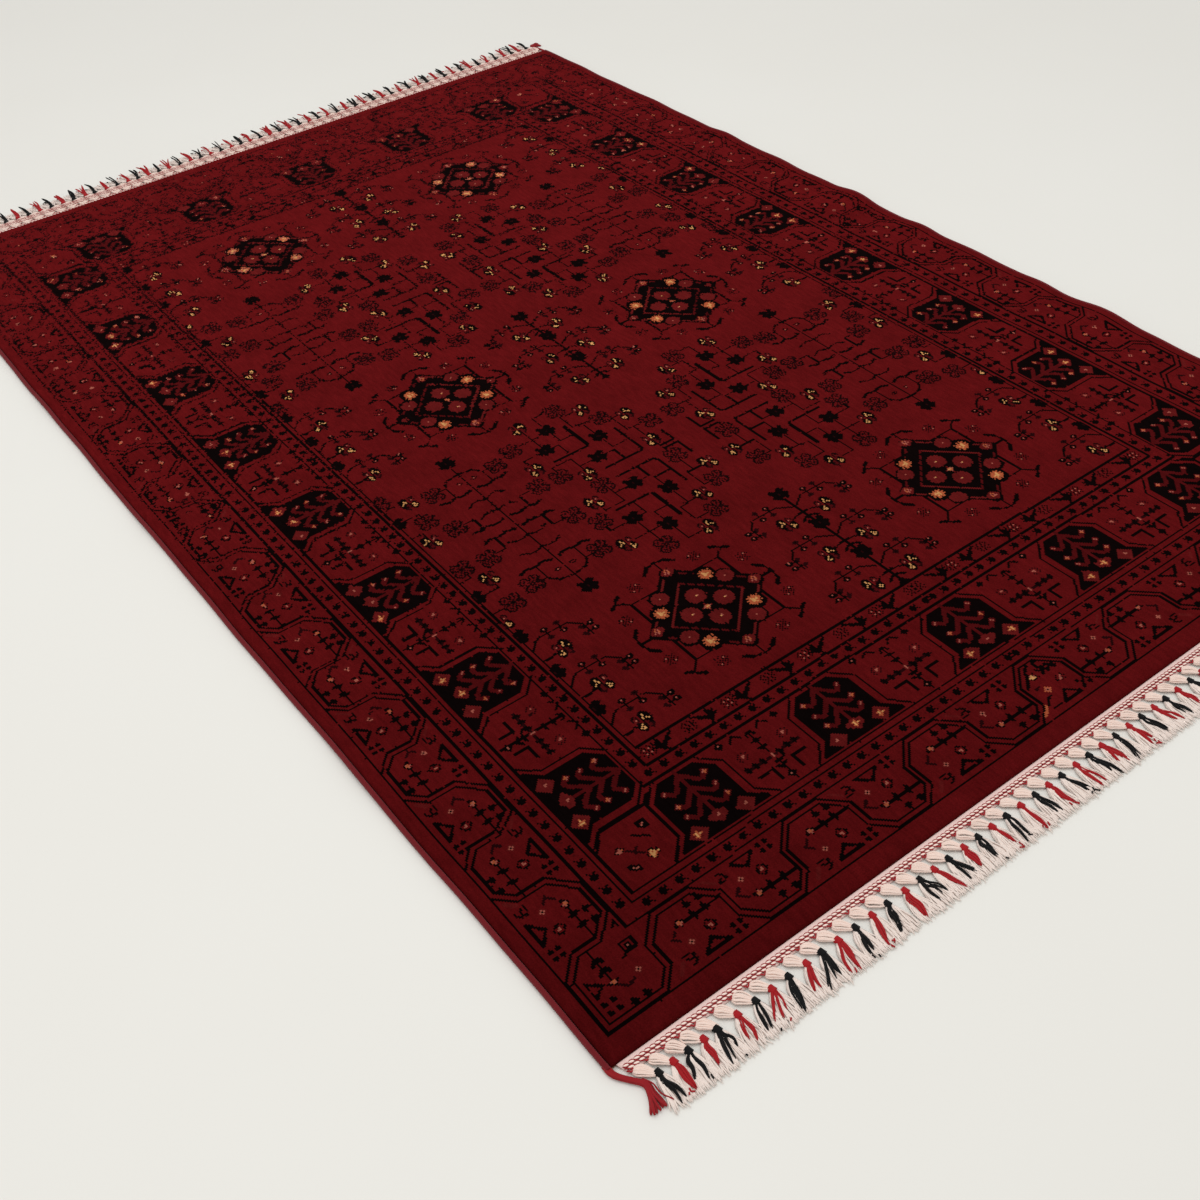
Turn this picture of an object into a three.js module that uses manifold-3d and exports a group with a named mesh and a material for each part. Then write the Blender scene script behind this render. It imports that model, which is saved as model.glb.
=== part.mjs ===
// A machine-made rug, 160 x 235 cm, lying flat: knotted pile cloth, an overcast cord along each long
// edge, and a cotton fringe trimming sewn to each end. Millimetres, +X across, +Y along, +Z up.
import * as THREE from 'three';
import { mergeVertices } from 'three/addons/utils/BufferGeometryUtils.js';
import Module from 'manifold-3d';

const wasm = await Module();
wasm.setup();

// Driving sizes.
const PILE_WIDTH = 1585; // knotted cloth, from cord to cord
const PILE_LENGTH = 2350; // knotted cloth, without the fringe
const PILE_THICKNESS = 10; // backing and cut pile together
const EDGE_ROUNDING = 5; // the pile leans out over this width at its rim
const EDGE_DROP = 2.5; // and is this much lower there
const SEAM_GAP = 0.3; // between two pieces that are sewn together
const ROW_STEP = 25; // length of one step along the rug

const CORD_WIDTH = 7.2;
const CORD_HEIGHT = 9;

const TAPE_DEPTH = 16; // heading tape of the fringe, along the rug
const TAPE_THICKNESS = 3;
const TAPE_REACH = 783; // half of the tape's width
const TAPE_SLANT = 6.5; // its first end is cut on the slant, beside the cord's tail

const TASSEL_COUNT = 61; // at each end
const TASSEL_PITCH = 25.4;
const FIRST_KNOT = -771; // across the rug, from the middle to the first yarn tie
const NEAR_PULLS = [16, 12, 8, 3]; // the first ties sit this much further in
const FAR_PULLS = [8, 4, 2];
const TIP_SPREAD = 5; // sideways scatter of the tassels' tips, over the range
const TIP_SCATTER = 4; // scatter of their lengths, over the range
const SPREAD_TURN = 2.4; // radians from one tassel to the next, for an even scatter
const SCATTER_TURN = 1.7;
const LOCK_TAPER = 0.6; // top of a lock's section against its width on the floor

// One fringe lock, from its root in the heading tape, over the leaf-shaped loop and the yarn tie, to
// the fanned tip. across is counted from the yarn tie, out from the pile's end. The loops of the far
// end are longer and stand higher, so its tassels are shorter.
const TASSEL_TIP = 84;
const NEAR_LOCK = [
  { across: -19, out: 14, width: 7, height: 2.6 },
  { across: -11.5, out: 22, width: 10.5, height: 5.5 },
  { across: -4, out: 30, width: 7.5, height: 5 },
  { across: 0, out: 35, width: 9, height: 6.8 },
  { across: 1, out: 43.5, width: 7.5, height: 4.5 },
  { across: 6, out: TASSEL_TIP, width: 20, height: 3 },
];
const FAR_LOCK = [
  { across: -19, out: 14, width: 7, height: 3 },
  { across: -11.5, out: 26, width: 10.5, height: 7.5 },
  { across: -4, out: 37, width: 7.5, height: 8 },
  { across: 0, out: 42.5, width: 9, height: 9.5 },
  { across: 1, out: 52, width: 7.5, height: 6.5 },
  { across: 6, out: TASSEL_TIP, width: 20, height: 3 },
];

// Loose end of a side cord, from inside the cord to its waist. inward is towards the rug's middle.
const TAIL_ROOT = [
  { inward: 0, out: -6, width: 6.2, height: 7.5 },
  { inward: 0.3, out: 5, width: 6.2, height: 7.5 },
  { inward: 4, out: 14, width: 6, height: 7 },
  { inward: 12, out: 25, width: 6, height: 6.5 },
  { inward: 21, out: 38, width: 6.5, height: 6 },
];
const TAIL_STRANDS = 5;
const TAIL_OVERLAP = 2; // of a strand's root with the cord's waist
const TAIL_FAN = 7; // degrees between two strands
const TAIL_STRAND = { root: 3.4, tip: 4.4, height: 4 };

// The four corners: inward scales the root's way in under the fringe and stretch its way out, turn
// swings the fan outward, and length is that of its strands.
const TAILS = [
  { side: -1, end: -1, inward: 1, stretch: 1, turn: 20, length: 34 },
  { side: 1, end: -1, inward: 0.1, stretch: 1, turn: 14, length: 37 },
  { side: 1, end: 1, inward: 0.3, stretch: 1.35, turn: 84, length: 24 },
  { side: -1, end: 1, inward: 0.1, stretch: 1, turn: 16, length: 37 },
];

// Where a long edge stands off the floor: middle of the lift along the rug, height, half length.
const LIFTS = [
  { side: 1, at: -565, rise: 6.5, span: 85 },
  { side: 1, at: -420, rise: 3.5, span: 60 },
  { side: 1, at: -120, rise: 4, span: 60 },
  { side: 1, at: 70, rise: 7, span: 70 },
  { side: 1, at: 285, rise: 2.5, span: 80 },
  { side: 1, at: 480, rise: 3.5, span: 60 },
  { side: -1, at: -630, rise: 3.5, span: 120 },
  { side: -1, at: 25, rise: 2.5, span: 90 },
  { side: -1, at: 465, rise: 2, span: 80 },
];
const LIFT_REACH = 95; // a lift dies away over this distance from the edge

// The cloth's lengthwise lines of points, as distances in from its long edges.
const EDGE_LINES = [0, EDGE_ROUNDING, 35, 65, LIFT_REACH];

// How each long edge strays from a straight line: corners drawn in, and two slow waves.
const SWAYS = [
  { side: -1, drawnIn: 4.5, wave: 0.7, length: 430, ripple: 0.3, rippleLength: 170 },
  { side: 1, drawnIn: 4.5, wave: 1.5, length: 330, ripple: 0.9, rippleLength: 140 },
];

const COLOURS = { pile: 0x661419, cord: 0x6e161b, fringe: 0xe6cfc4 };

const halfWidth = PILE_WIDTH / 2;
const halfLength = PILE_LENGTH / 2;

// 1 at nought, falling smoothly to 0 at one.
function swell(t) {
  return Math.abs(t) >= 1 ? 0 : (1 + Math.cos(Math.PI * t)) / 2;
}

function lift(x, y) {
  const inFromEdge = Math.max(0, halfWidth - Math.abs(x));
  let height = 0;
  for (const { side, at, rise, span } of LIFTS) {
    if (side * x > 0) height += rise * swell((y - at) / span);
  }
  return height * swell(inFromEdge / LIFT_REACH);
}

// Sideways shift of the cloth at x, y: full at the long edges, nothing in the field.
function sway(x, y) {
  const { side, drawnIn, wave, length, ripple, rippleLength } = SWAYS[x < 0 ? 0 : 1];
  const out =
    wave * Math.sin((2 * Math.PI * y) / length) +
    ripple * Math.sin((2 * Math.PI * y) / rippleLength) -
    drawnIn * (y / halfLength) ** 2;
  return side * out * Math.min(1, Math.abs(x) / halfWidth) ** 4;
}

// Stations along the rug, with a close pair at each end for the rounded rim.
function rowStations() {
  const rows = [-halfLength];
  const steps = Math.round((PILE_LENGTH - 2 * EDGE_ROUNDING) / ROW_STEP);
  for (let i = 0; i <= steps; i++) {
    rows.push(-halfLength + EDGE_ROUNDING + ((PILE_LENGTH - 2 * EDGE_ROUNDING) * i) / steps);
  }
  rows.push(halfLength);
  return rows;
}

// A closed body from rings of points, each ring one section, with a cap on both ends.
function skin(rings) {
  const n = rings[0].length;
  const positions = rings.flat(2);
  const index = [];
  const at = (ring, k) => ring * n + (k % n);
  for (let r = 0; r + 1 < rings.length; r++) {
    for (let k = 0; k < n; k++) {
      index.push(at(r, k), at(r + 1, k + 1), at(r, k + 1));
      index.push(at(r, k), at(r + 1, k), at(r + 1, k + 1));
    }
  }
  const last = rings.length - 1;
  for (let k = 1; k + 1 < n; k++) {
    index.push(at(0, 0), at(0, k), at(0, k + 1));
    index.push(at(last, 0), at(last, k + 1), at(last, k));
  }
  const geometry = new THREE.BufferGeometry();
  geometry.setAttribute('position', new THREE.Float32BufferAttribute(positions, 3));
  geometry.setIndex(index);
  return geometry;
}

// The cloth: each row across the rug is a ring, out along the underside and back over the pile.
function pileCloth() {
  const right = EDGE_LINES.map((inward) => halfWidth - inward);
  const across = [...right.map((x) => -x), ...right.reverse()];
  const rows = rowStations();
  const rings = rows.map((y, r) => {
    const rim = r === 0 || r === rows.length - 1;
    const under = across.map((x) => [x + sway(x, y), y, lift(x, y)]);
    const over = across.map((x, c) => {
      const drop = rim || c === 0 || c === across.length - 1 ? EDGE_DROP : 0;
      return [x + sway(x, y), y, lift(x, y) + PILE_THICKNESS - drop];
    });
    return [...under, ...over.reverse()];
  });
  return skin(rings);
}

function cordCentre(side, y) {
  const x = side * (halfWidth + SEAM_GAP + CORD_WIDTH / 2);
  return { x: x + sway(side * halfWidth, y), z: lift(side * halfWidth, y) };
}

// The cord's six-sided section, flat underneath, as fractions of its half width and its height.
const CORD_SECTION = [[-0.5, 0], [0.5, 0], [1, 0.5], [0.5, 1], [-0.5, 1], [-1, 0.5]];

function cord(side) {
  const rings = rowStations().map((y) => {
    const { x, z } = cordCentre(side, y);
    return CORD_SECTION.map(([u, v]) => [x + (u * CORD_WIDTH) / 2, y, z + v * CORD_HEIGHT]);
  });
  return skin(rings);
}

// A four-sided lock of yarn lying on the floor along a route of {x, y, width, height}.
function lock(route) {
  const point = ({ x, y }) => new THREE.Vector2(x, y);
  const rings = route.map((station, i) => {
    const before = point(route[Math.max(0, i - 1)]);
    const after = point(route[Math.min(route.length - 1, i + 1)]);
    const along = after.sub(before).normalize();
    const side = new THREE.Vector2(along.y, -along.x).multiplyScalar(station.width / 2);
    const corner = (u, z) => [station.x + side.x * u, station.y + side.y * u, z];
    return [corner(-1, 0), corner(1, 0), corner(LOCK_TAPER, station.height),
      corner(-LOCK_TAPER, station.height)];
  });
  return skin(rings);
}

function solid(geometry) {
  geometry.deleteAttribute('normal');
  geometry.deleteAttribute('uv');
  const merged = mergeVertices(geometry, 1e-4);
  return new wasm.Manifold(new wasm.Mesh({
    numProp: 3,
    vertProperties: new Float32Array(merged.getAttribute('position').array),
    triVerts: new Uint32Array(merged.getIndex().array),
  }));
}

function fuse(geometries) {
  const [first, ...rest] = geometries.map(solid);
  const whole = rest.reduce((sum, next) => sum.add(next), first);
  const { vertProperties, numProp, triVerts } = whole.getMesh();
  const geometry = new THREE.BufferGeometry();
  const positions = [];
  for (let i = 0; i < vertProperties.length; i += numProp) {
    positions.push(vertProperties[i], vertProperties[i + 1], vertProperties[i + 2]);
  }
  geometry.setAttribute('position', new THREE.Float32BufferAttribute(positions, 3));
  geometry.setIndex([...triVerts]);
  return geometry;
}

// A cord with the loose ends that hang out at both of its corners.
function sideCord(side) {
  const pieces = [cord(side)];
  for (const tail of TAILS.filter((t) => t.side === side)) {
    const centre = cordCentre(side, tail.end * halfLength).x;
    const place = ({ inward, out, ...size }) => ({
      ...size,
      x: centre - side * inward * tail.inward,
      y: tail.end * (halfLength + (out > 0 ? out * tail.stretch : out)),
    });
    const root = TAIL_ROOT.map(place);
    pieces.push(lock(root));
    const waist = root[root.length - 1];
    for (let i = 0; i < TAIL_STRANDS; i++) {
      const fan = (i - (TAIL_STRANDS - 1) / 2) * TAIL_FAN;
      const angle = THREE.MathUtils.degToRad(tail.turn + fan);
      const strand = (reach, width) => ({
        x: waist.x + side * Math.sin(angle) * reach,
        y: waist.y + tail.end * Math.cos(angle) * reach,
        width,
        height: TAIL_STRAND.height,
      });
      const { root: rootWidth, tip } = TAIL_STRAND;
      pieces.push(lock([strand(-TAIL_OVERLAP, rootWidth), strand(tail.length, tip)]));
    }
  }
  return fuse(pieces);
}

// A fringe trimming, made for the near end; the far one is then turned half round.
function fringe(stations, pulls) {
  const top = -halfLength - SEAM_GAP;
  const bottom = top - TAPE_DEPTH;
  const tape = new THREE.ExtrudeGeometry(
    new THREE.Shape([
      new THREE.Vector2(-TAPE_REACH + TAPE_SLANT, bottom),
      new THREE.Vector2(TAPE_REACH, bottom),
      new THREE.Vector2(TAPE_REACH, top),
      new THREE.Vector2(-TAPE_REACH, top),
    ]),
    { depth: TAPE_THICKNESS, bevelEnabled: false },
  );
  const locks = Array.from({ length: TASSEL_COUNT }, (_, i) => {
    const knot = FIRST_KNOT + i * TASSEL_PITCH + (pulls[i] ?? 0);
    return lock(stations.map(({ across, out, width, height }, k) => {
      const tip = k === stations.length - 1;
      return {
        x: knot + across + (tip ? (TIP_SPREAD / 2) * Math.sin(i * SPREAD_TURN) : 0),
        y: -halfLength - out + (tip ? (TIP_SCATTER / 2) * Math.sin(i * SCATTER_TURN) : 0),
        width,
        height,
      };
    }));
  });
  return fuse([tape, ...locks]);
}

function piece(name, geometry, colour) {
  const material = new THREE.MeshStandardMaterial({ color: colour, roughness: 0.95, metalness: 0 });
  const mesh = new THREE.Mesh(geometry, material);
  mesh.name = name;
  return mesh;
}

const rug = new THREE.Group();
rug.add(piece('pile_cloth', pileCloth(), COLOURS.pile));
rug.add(piece('side_cord_left', sideCord(-1), COLOURS.cord));
rug.add(piece('side_cord_right', sideCord(1), COLOURS.cord));
rug.add(piece('fringe_near', fringe(NEAR_LOCK, NEAR_PULLS), COLOURS.fringe));
const farFringe = piece('fringe_far', fringe(FAR_LOCK, FAR_PULLS), COLOURS.fringe);
farFringe.rotation.z = Math.PI;
rug.add(farFringe);

// The origin is the middle of the rug's footprint, on the floor.
const box = new THREE.Box3().setFromObject(rug);
rug.position.set(-(box.min.x + box.max.x) / 2, -(box.min.y + box.max.y) / 2, 0);

export default rug;
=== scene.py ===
import math

import bpy
import numpy as np
from mathutils import Matrix, Vector


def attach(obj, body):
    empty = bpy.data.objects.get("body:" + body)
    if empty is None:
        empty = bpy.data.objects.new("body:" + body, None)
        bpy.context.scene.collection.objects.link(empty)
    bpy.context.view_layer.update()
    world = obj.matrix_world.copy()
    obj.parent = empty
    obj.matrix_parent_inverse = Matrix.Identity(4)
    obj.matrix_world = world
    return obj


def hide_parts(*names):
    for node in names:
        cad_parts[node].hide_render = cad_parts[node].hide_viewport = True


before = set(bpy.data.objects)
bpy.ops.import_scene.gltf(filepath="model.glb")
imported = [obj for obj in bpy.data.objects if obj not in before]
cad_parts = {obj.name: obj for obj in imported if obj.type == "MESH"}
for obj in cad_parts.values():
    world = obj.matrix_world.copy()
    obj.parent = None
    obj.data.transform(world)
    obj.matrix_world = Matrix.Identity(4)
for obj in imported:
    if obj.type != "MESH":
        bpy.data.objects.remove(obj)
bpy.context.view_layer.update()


# The view: a camera on a stand beyond the near left corner, looking down across the rug, with the
# small tilt of the photograph.
VIEW_POINT = Vector((-1.2075, -1.8339, 1.3732))
VIEW_TURN, VIEW_DROP, VIEW_TILT = (math.radians(a) for a in (-34.2123, 42.042, -4.175))
VIEW_LENS = 42.446
view_ahead = Vector((
    -math.sin(VIEW_TURN) * math.cos(VIEW_DROP),
    math.cos(VIEW_TURN) * math.cos(VIEW_DROP),
    -math.sin(VIEW_DROP),
))
level_right = view_ahead.cross(Vector((0, 0, 1))).normalized()
level_up = level_right.cross(view_ahead)
view_right = level_right * math.cos(VIEW_TILT) + level_up * math.sin(VIEW_TILT)
view_up = level_up * math.cos(VIEW_TILT) - level_right * math.sin(VIEW_TILT)
studio_camera = bpy.data.objects.new("studio_camera", bpy.data.cameras.new("studio_camera"))
studio_camera.data.sensor_width = 36
studio_camera.data.lens = VIEW_LENS
studio_camera.data.clip_start, studio_camera.data.clip_end = 0.01, 100
view_axes = Matrix((view_right, view_up, -view_ahead)).transposed().to_4x4()
studio_camera.matrix_world = Matrix.Translation(VIEW_POINT) @ view_axes
bpy.context.collection.objects.link(studio_camera)
bpy.context.scene.camera = studio_camera
bpy.context.scene.view_settings.view_transform = "Standard"


# The pile: wool tufts in eight yarns, cut level and bound into the woven back by the loom. The
# cloth lies flat on the floor, but here and there a long edge stands a few millimetres off it.
PILE_WIDTH, PILE_LENGTH = 1.585, 2.35
PILE_TOP, BACK_THICKNESS = 0.0100, 0.0024
HALF_WIDTH, HALF_LENGTH = PILE_WIDTH / 2, PILE_LENGTH / 2
RIM_WIDTH, RIM_DROP = 0.005, 0.3  # the drop is a share of the thickness
LIFT_REACH = 0.095
# Where a long edge stands off the floor: side, middle along the rug, height, half length.
LIFTS = [
    (1, -0.565, 0.0065, 0.085),
    (1, -0.420, 0.0035, 0.060),
    (1, -0.120, 0.0040, 0.060),
    (1, 0.070, 0.0070, 0.070),
    (1, 0.285, 0.0025, 0.080),
    (1, 0.480, 0.0035, 0.060),
    (-1, -0.630, 0.0035, 0.120),
    (-1, 0.025, 0.0025, 0.090),
    (-1, 0.465, 0.0020, 0.080),
]
# How a long edge strays: side, corners drawn in, a slow wave and its length, a ripple and its length.
SWAYS = [
    (-1, 0.0045, 0.0007, 0.430, 0.0003, 0.170),
    (1, 0.0045, 0.0015, 0.330, 0.0009, 0.140),
]


def swell(t):
    # A smooth rise from 0 at t = -1 to 1 at t = 0, and down again to 0 at t = 1.
    return np.where(np.abs(t) >= 1, 0.0, (1 + np.cos(np.pi * np.clip(t, -1, 1))) / 2)


def cloth_lift(x, y):
    height = sum(
        np.where(side * x > 0, rise * swell((y - at) / span), 0.0) for side, at, rise, span in LIFTS
    )
    return height * swell(np.maximum(0, HALF_WIDTH - np.abs(x)) / LIFT_REACH)


def cloth_sway(x, y):
    shift = 0
    for side, drawn_in, wave, length, ripple, ripple_length in SWAYS:
        out = wave * np.sin(2 * np.pi * y / length) + ripple * np.sin(2 * np.pi * y / ripple_length)
        out = out - drawn_in * (y / HALF_LENGTH) ** 2
        shift = shift + np.where(side * x > 0, side * out, 0.0)
    return shift * np.minimum(1, np.abs(x) / HALF_WIDTH) ** 4


# The pattern on point paper: one square for each knot, 400 knots to the metre both ways. It is
# woven in eight yarns and drawn with a brush and small stamps, as a mill's designer would.
KNOT = 0.0025
PAPER_COLUMNS, PAPER_ROWS = 634, 940
RULE_COLUMN, RULE_ROW = 4.5, 2.4  # the rulings are counted from just outside the cloth's corner
MIDDLE_COLUMN, MIDDLE_ROW = 321.5, 472.4
YARNS = {"g": 0, "k": 1, "d": 2, "r": 3, "o": 4, "c": 5, "p": 6, "m": 7}
paper = np.zeros((PAPER_ROWS, PAPER_COLUMNS), int)
column_at, row_at = np.meshgrid(
    np.arange(PAPER_COLUMNS) + 0.5 + RULE_COLUMN, np.arange(PAPER_ROWS) + 0.5 + RULE_ROW
)


def upright(column, row):
    # A motif is drawn in two measures of its own, and a function like this one lays them on the
    # paper. This is the plain one, for what is drawn in columns and rows.
    return column, row


def window(points, margin):
    # The part of the paper round the given points.
    columns, rows = np.array(points).T
    low_column = max(0, int(columns.min() - margin - RULE_COLUMN))
    low_row = max(0, int(rows.min() - margin - RULE_ROW))
    high_column = int(columns.max() + margin - RULE_COLUMN) + 2
    high_row = int(rows.max() + margin - RULE_ROW) + 2
    return slice(low_row, high_row), slice(low_column, high_column)


def brush(points, yarn="d", width=1.3, place=upright):
    # Colours every knot within half a width of a line.
    points = [place(*point) for point in points]
    for (c0, r0), (c1, r1) in zip(points, points[1:]):
        part = window([(c0, r0), (c1, r1)], width)
        c, r = column_at[part], row_at[part]
        length = max(1e-6, (c1 - c0) ** 2 + (r1 - r0) ** 2)
        along = np.clip(((c - c0) * (c1 - c0) + (r - r0) * (r1 - r0)) / length, 0, 1)
        away = np.hypot(c - c0 - along * (c1 - c0), r - r0 - along * (r1 - r0))
        paper[part][away <= width / 2] = YARNS[yarn]


def patch(corners, yarn="k", place=upright):
    # Fills an outline: a knot is inside if an odd number of its sides pass on one side of it.
    corners = [place(*corner) for corner in corners]
    part = window(corners, 1)
    c, r = column_at[part], row_at[part]
    inside = np.zeros(c.shape, bool)
    for (c0, r0), (c1, r1) in zip(corners, corners[1:] + corners[:1]):
        if r0 != r1:
            crosses = (r0 <= r) != (r1 <= r)
            inside ^= crosses & (c < c0 + (r - r0) * (c1 - c0) / (r1 - r0))
    paper[part][inside] = YARNS[yarn]


def lozenge(c, r, across, up, yarn, place=upright):
    patch([(c - across, r), (c, r - up), (c + across, r), (c, r + up)], yarn, place)


def disc(c, r, radius, yarn, place=upright):
    centre = place(c, r)
    part = window([centre], radius + 1)
    away = np.hypot(column_at[part] - centre[0], row_at[part] - centre[1])
    paper[part][away <= radius] = YARNS[yarn]


def stamp(rows, c, r, place=upright, flip=False):
    # Prints a small chart, top row first, with its middle at the given place. A dot leaves the knot.
    middle = np.array(place(c, r))
    right = np.rint(np.array(place(c + 1, r)) - middle).astype(int)
    up = np.rint(np.array(place(c, r + 1)) - middle).astype(int)
    base = np.floor(middle - (RULE_COLUMN, RULE_ROW)).astype(int)
    for j, line in enumerate(rows):
        for i, mark in enumerate(line[::-1] if flip else line):
            column, row = base + right * (i - len(line) // 2) + up * (len(rows) // 2 - j)
            if mark != "." and 0 <= column < PAPER_COLUMNS and 0 <= row < PAPER_ROWS:
                paper[row, column] = YARNS[mark]


FLOWER = [
    ".......dkk...",
    "..dk..kkkkk..",
    ".dkmd.kkckkk.",
    ".drmd.kkckkk.",
    ".drpd.kckkkkd",
    "..rmd.kckckk.",
    "..dd..kkkkckd",
    "..kkk.dmkkkk.",
    ".kkkckdmmkkk.",
    ".kkckkkmdkk..",
    ".kckckdmmdk..",
    ".kkcckdmmdd..",
    "..kkkk.ddd...",
    "...kk...d....",
]
ROSETTE = [
    "...kdk...dkd...",
    "..k..dk.k.dkd..",
    ".kd.d.k.k.d..k.",
    ".d.dk.dkd.kd.k.",
    "dk.d...k..d.dkd",
    ".kd..dd.dd..kd.",
    "..kkd.dkd.dkk..",
    ".d.dkdk.kdkd.d.",
    "..kkd.dkd.dkd..",
    ".kd..dd.d...kd.",
    "dk.d.d.k.d..dkd",
    ".k.dk.dkd.kd.k.",
    ".kd.d.k.k.d.dk.",
    "..kd.dk.k.ddk..",
    "...kdd...dkd...",
]
BLACK_FLOWER = [
    "..kk....kkk..",
    ".kkkk..kkkkk.",
    ".kkkkkkkkkkkk",
    "..kkkkkkkkkk.",
    "..kkkkkkkkk..",
    "..kkkkdkkkkk.",
    ".kkkkkdkkkkkk",
    "kkkkkkkkkkkkk",
    ".kkkkkkkkkkk.",
    "..kkkkkkkkk..",
    "...kkk.kkkk..",
    "....k...kk...",
]
SEED_FLOWER = [
    "....d....",
    "..d..k.d.",
    ".kpd..d..",
    "k..k.k.d.",
    "..k.d.k..",
    ".d.k.k..k",
    "..d..dpk.",
    ".d.k..d..",
    "....d....",
]
FOUR_BUDS = [
    ".....k.......",
    "..dd.k..kkkk.",
    ".dddkk.kkpkk.",
    "..ddkkkkkkkk.",
    "...dkk..kkk..",
    ".....k.......",
    ".....k..kkk..",
    ".dd.kk.kkpkk.",
    "ddddkkkkkrkk.",
    ".ddd.k..kkk..",
    "..dd.k.......",
    ".....k.......",
]
BUDS_ON_STALK = [
    ".kkk.",
    "kkpkk",
    "kkrkk",
    ".kkk.",
    "..k..",
    "..k..",
    "..k..",
    "..k..",
    ".ddd.",
    "ddkdd",
    ".ddd.",
]
SPRIG = [
    "...k...",
    "..kk...",
    "..kkk..",
    ".kkkkk.",
    "..kkk..",
    "...kk..",
    "...k...",
]
STAR = [
    "...k...",
    ".k.p.kk",
    "kkpoodk",
    ".kkopk.",
    "...kk..",
]
DOT_STAR = [
    "...kk..",
    ".kk..k.",
    ".k.p.kk",
    "kk.ppdk",
    ".k....k",
    "..kk.k.",
    "...kk..",
]
RING = [
    "..r..",
    ".rpr.",
    "rpkpr",
    ".rpr.",
    "..r..",
]
COMB = [
    "..dkk..",
    ".kk....",
    "dk.....",
    ".kkkd..",
    "dk..kk.",
    "kk.....",
    "..dkkkd",
]
FOUR_DOTS = [
    ".kk..kk.",
    "kkk..kkk",
    ".kk..kk.",
    "........",
    ".kk..kk.",
    "kkk..kkk",
    ".kk..kk.",
]
LEAF = [
    "...kk.k.",
    "..kkkkk.",
    "m.kkkk..",
    "..kkkkk.",
    "...kk..k",
]
TWIG_LEAF = [
    ".k..",
    "kkk.",
    ".kkk",
    "kkk.",
    ".kk.",
]
BIRD = [
    "....k...........",
    "....k.........k.",
    "....kk......kkk.",
    ".k.kkk....kkkk..",
    ".kkkkk...kkk....",
    "..kkkk.kkkkk....",
    "kkkkkkkkkkk.....",
    ".kkkkkkkk.......",
    "...kkkkk........",
    "....kkk.........",
    ".....kk.........",
    "......kk........",
    "........k.......",
]
BLOOM = [
    "...o.o...",
    ".oooooo.o",
    "..ocoooo.",
    "oooccoooo",
    ".ooccccoo",
    "oooccooo.",
    ".ooooco.o",
    "..ooooo..",
    "...o.oo..",
]
RED_BLOOM = [
    "....rrr....",
    "..rrrrrrr..",
    ".rrrrrrrrr.",
    ".rrrrrrrrrr",
    "rrrrrrrrrrr",
    "rrrrrprrrrr",
    "rrrrrrrrrrr",
    ".rrrrrrrrrr",
    ".rrrrrrrrr.",
    "..rrrrrrr..",
    "....rrr....",
]
TIP_BLOOM = [
    "...rrr...",
    "..rrorrr.",
    ".rrorprrr",
    "rrrprorrr",
    "rrprporrr",
    ".rrrprrr.",
    "..rrrrr..",
    "...rr....",
]

# Outer border: a double line runs in and out between the long outer line and the first guard.
NEAR_OUT, NEAR_IN = 16.3, 51.7
SIDE_OUT, SIDE_IN = 13.8, 50.0


def compartment(place):
    # One bay of the meander, drawn from its wall and from its closed side.
    brush([(1, 12.2), (24, 12.2)], "k", 1.3, place)
    for away in (10.4, 18):
        stamp(SPRIG, away, 12.2, place)
        stamp(SPRIG[2:], away - 1, 4.6, place)
    stamp(STAR, 25.3, 12.2, place)
    stamp(DOT_STAR, 15, 22, place)
    stamp(RING, 27.5, 23.5, place)
    brush([(31.3, 20.3), (34.3, 17.4)], "d", 1.5, place)
    brush([(33.6, 17), (30.5, 14)], "d", 1.3, place)
    brush([(12, 33.6), (26.5, 33.6), (19.3, 27.4), (12, 33.6)], "k", 1.9, place)
    stamp(FOUR_DOTS, 6, 31.3, place)
    stamp(COMB, 34.0, 30.8, place)
    brush([(42.5, 34.5), (38, 30)], "r", 1.6, place)


def double_line(path):
    brush(path, "k", 4.7)
    brush(path, "g", 1.9)


# Where a wall of the meander stands, along the ends and along the sides.
NEAR_WALLS = (54.8, 138, 221, 304)
SIDE_WALLS = (57, 135, 216.5, 298, 379.5, 461)
near_path = [(14.3, 46.5), (14.3, NEAR_OUT), (46, NEAR_OUT)]
for wall in NEAR_WALLS:
    far_wall = wall + 43.7
    near_path += [(wall, 25.2), (wall, 39.5), (wall + 12.2, NEAR_IN), (far_wall - 11, NEAR_IN)]
    near_path += [(far_wall, 40.5), (far_wall, 26.5), (far_wall + 10, NEAR_OUT), (wall + 74, NEAR_OUT)]
side_path = [(14.3, 46.5), (25, 56.7), (38, 56.7)]
for wall in SIDE_WALLS:
    side_path += [(SIDE_IN, wall + 10.2), (SIDE_IN, wall + 29), (38, wall + 41.8), (22, wall + 41.8)]
    side_path += [(SIDE_OUT, wall + 50), (SIDE_OUT, wall + 70), (22.5, wall + 79.8), (37, wall + 79.8)]
brush([(12, 13.9), (MIDDLE_COLUMN, 13.9)], "k", 1.3)
brush([(12, 13.9), (12, MIDDLE_ROW)], "k", 1.3)
double_line(near_path)
double_line(side_path)
for wall in (98.7, 181.7, 264.7):
    compartment(lambda away, deep: (wall - away, NEAR_IN - deep))
for wall in NEAR_WALLS[1:]:
    compartment(lambda away, deep: (wall - away, NEAR_OUT + deep))
for wall in SIDE_WALLS:
    compartment(lambda away, deep: (SIDE_IN - deep, wall + away))
for wall in (97.5, 177, 258.5, 340, 421.5):
    compartment(lambda away, deep: (SIDE_OUT + deep, wall + away))

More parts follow.
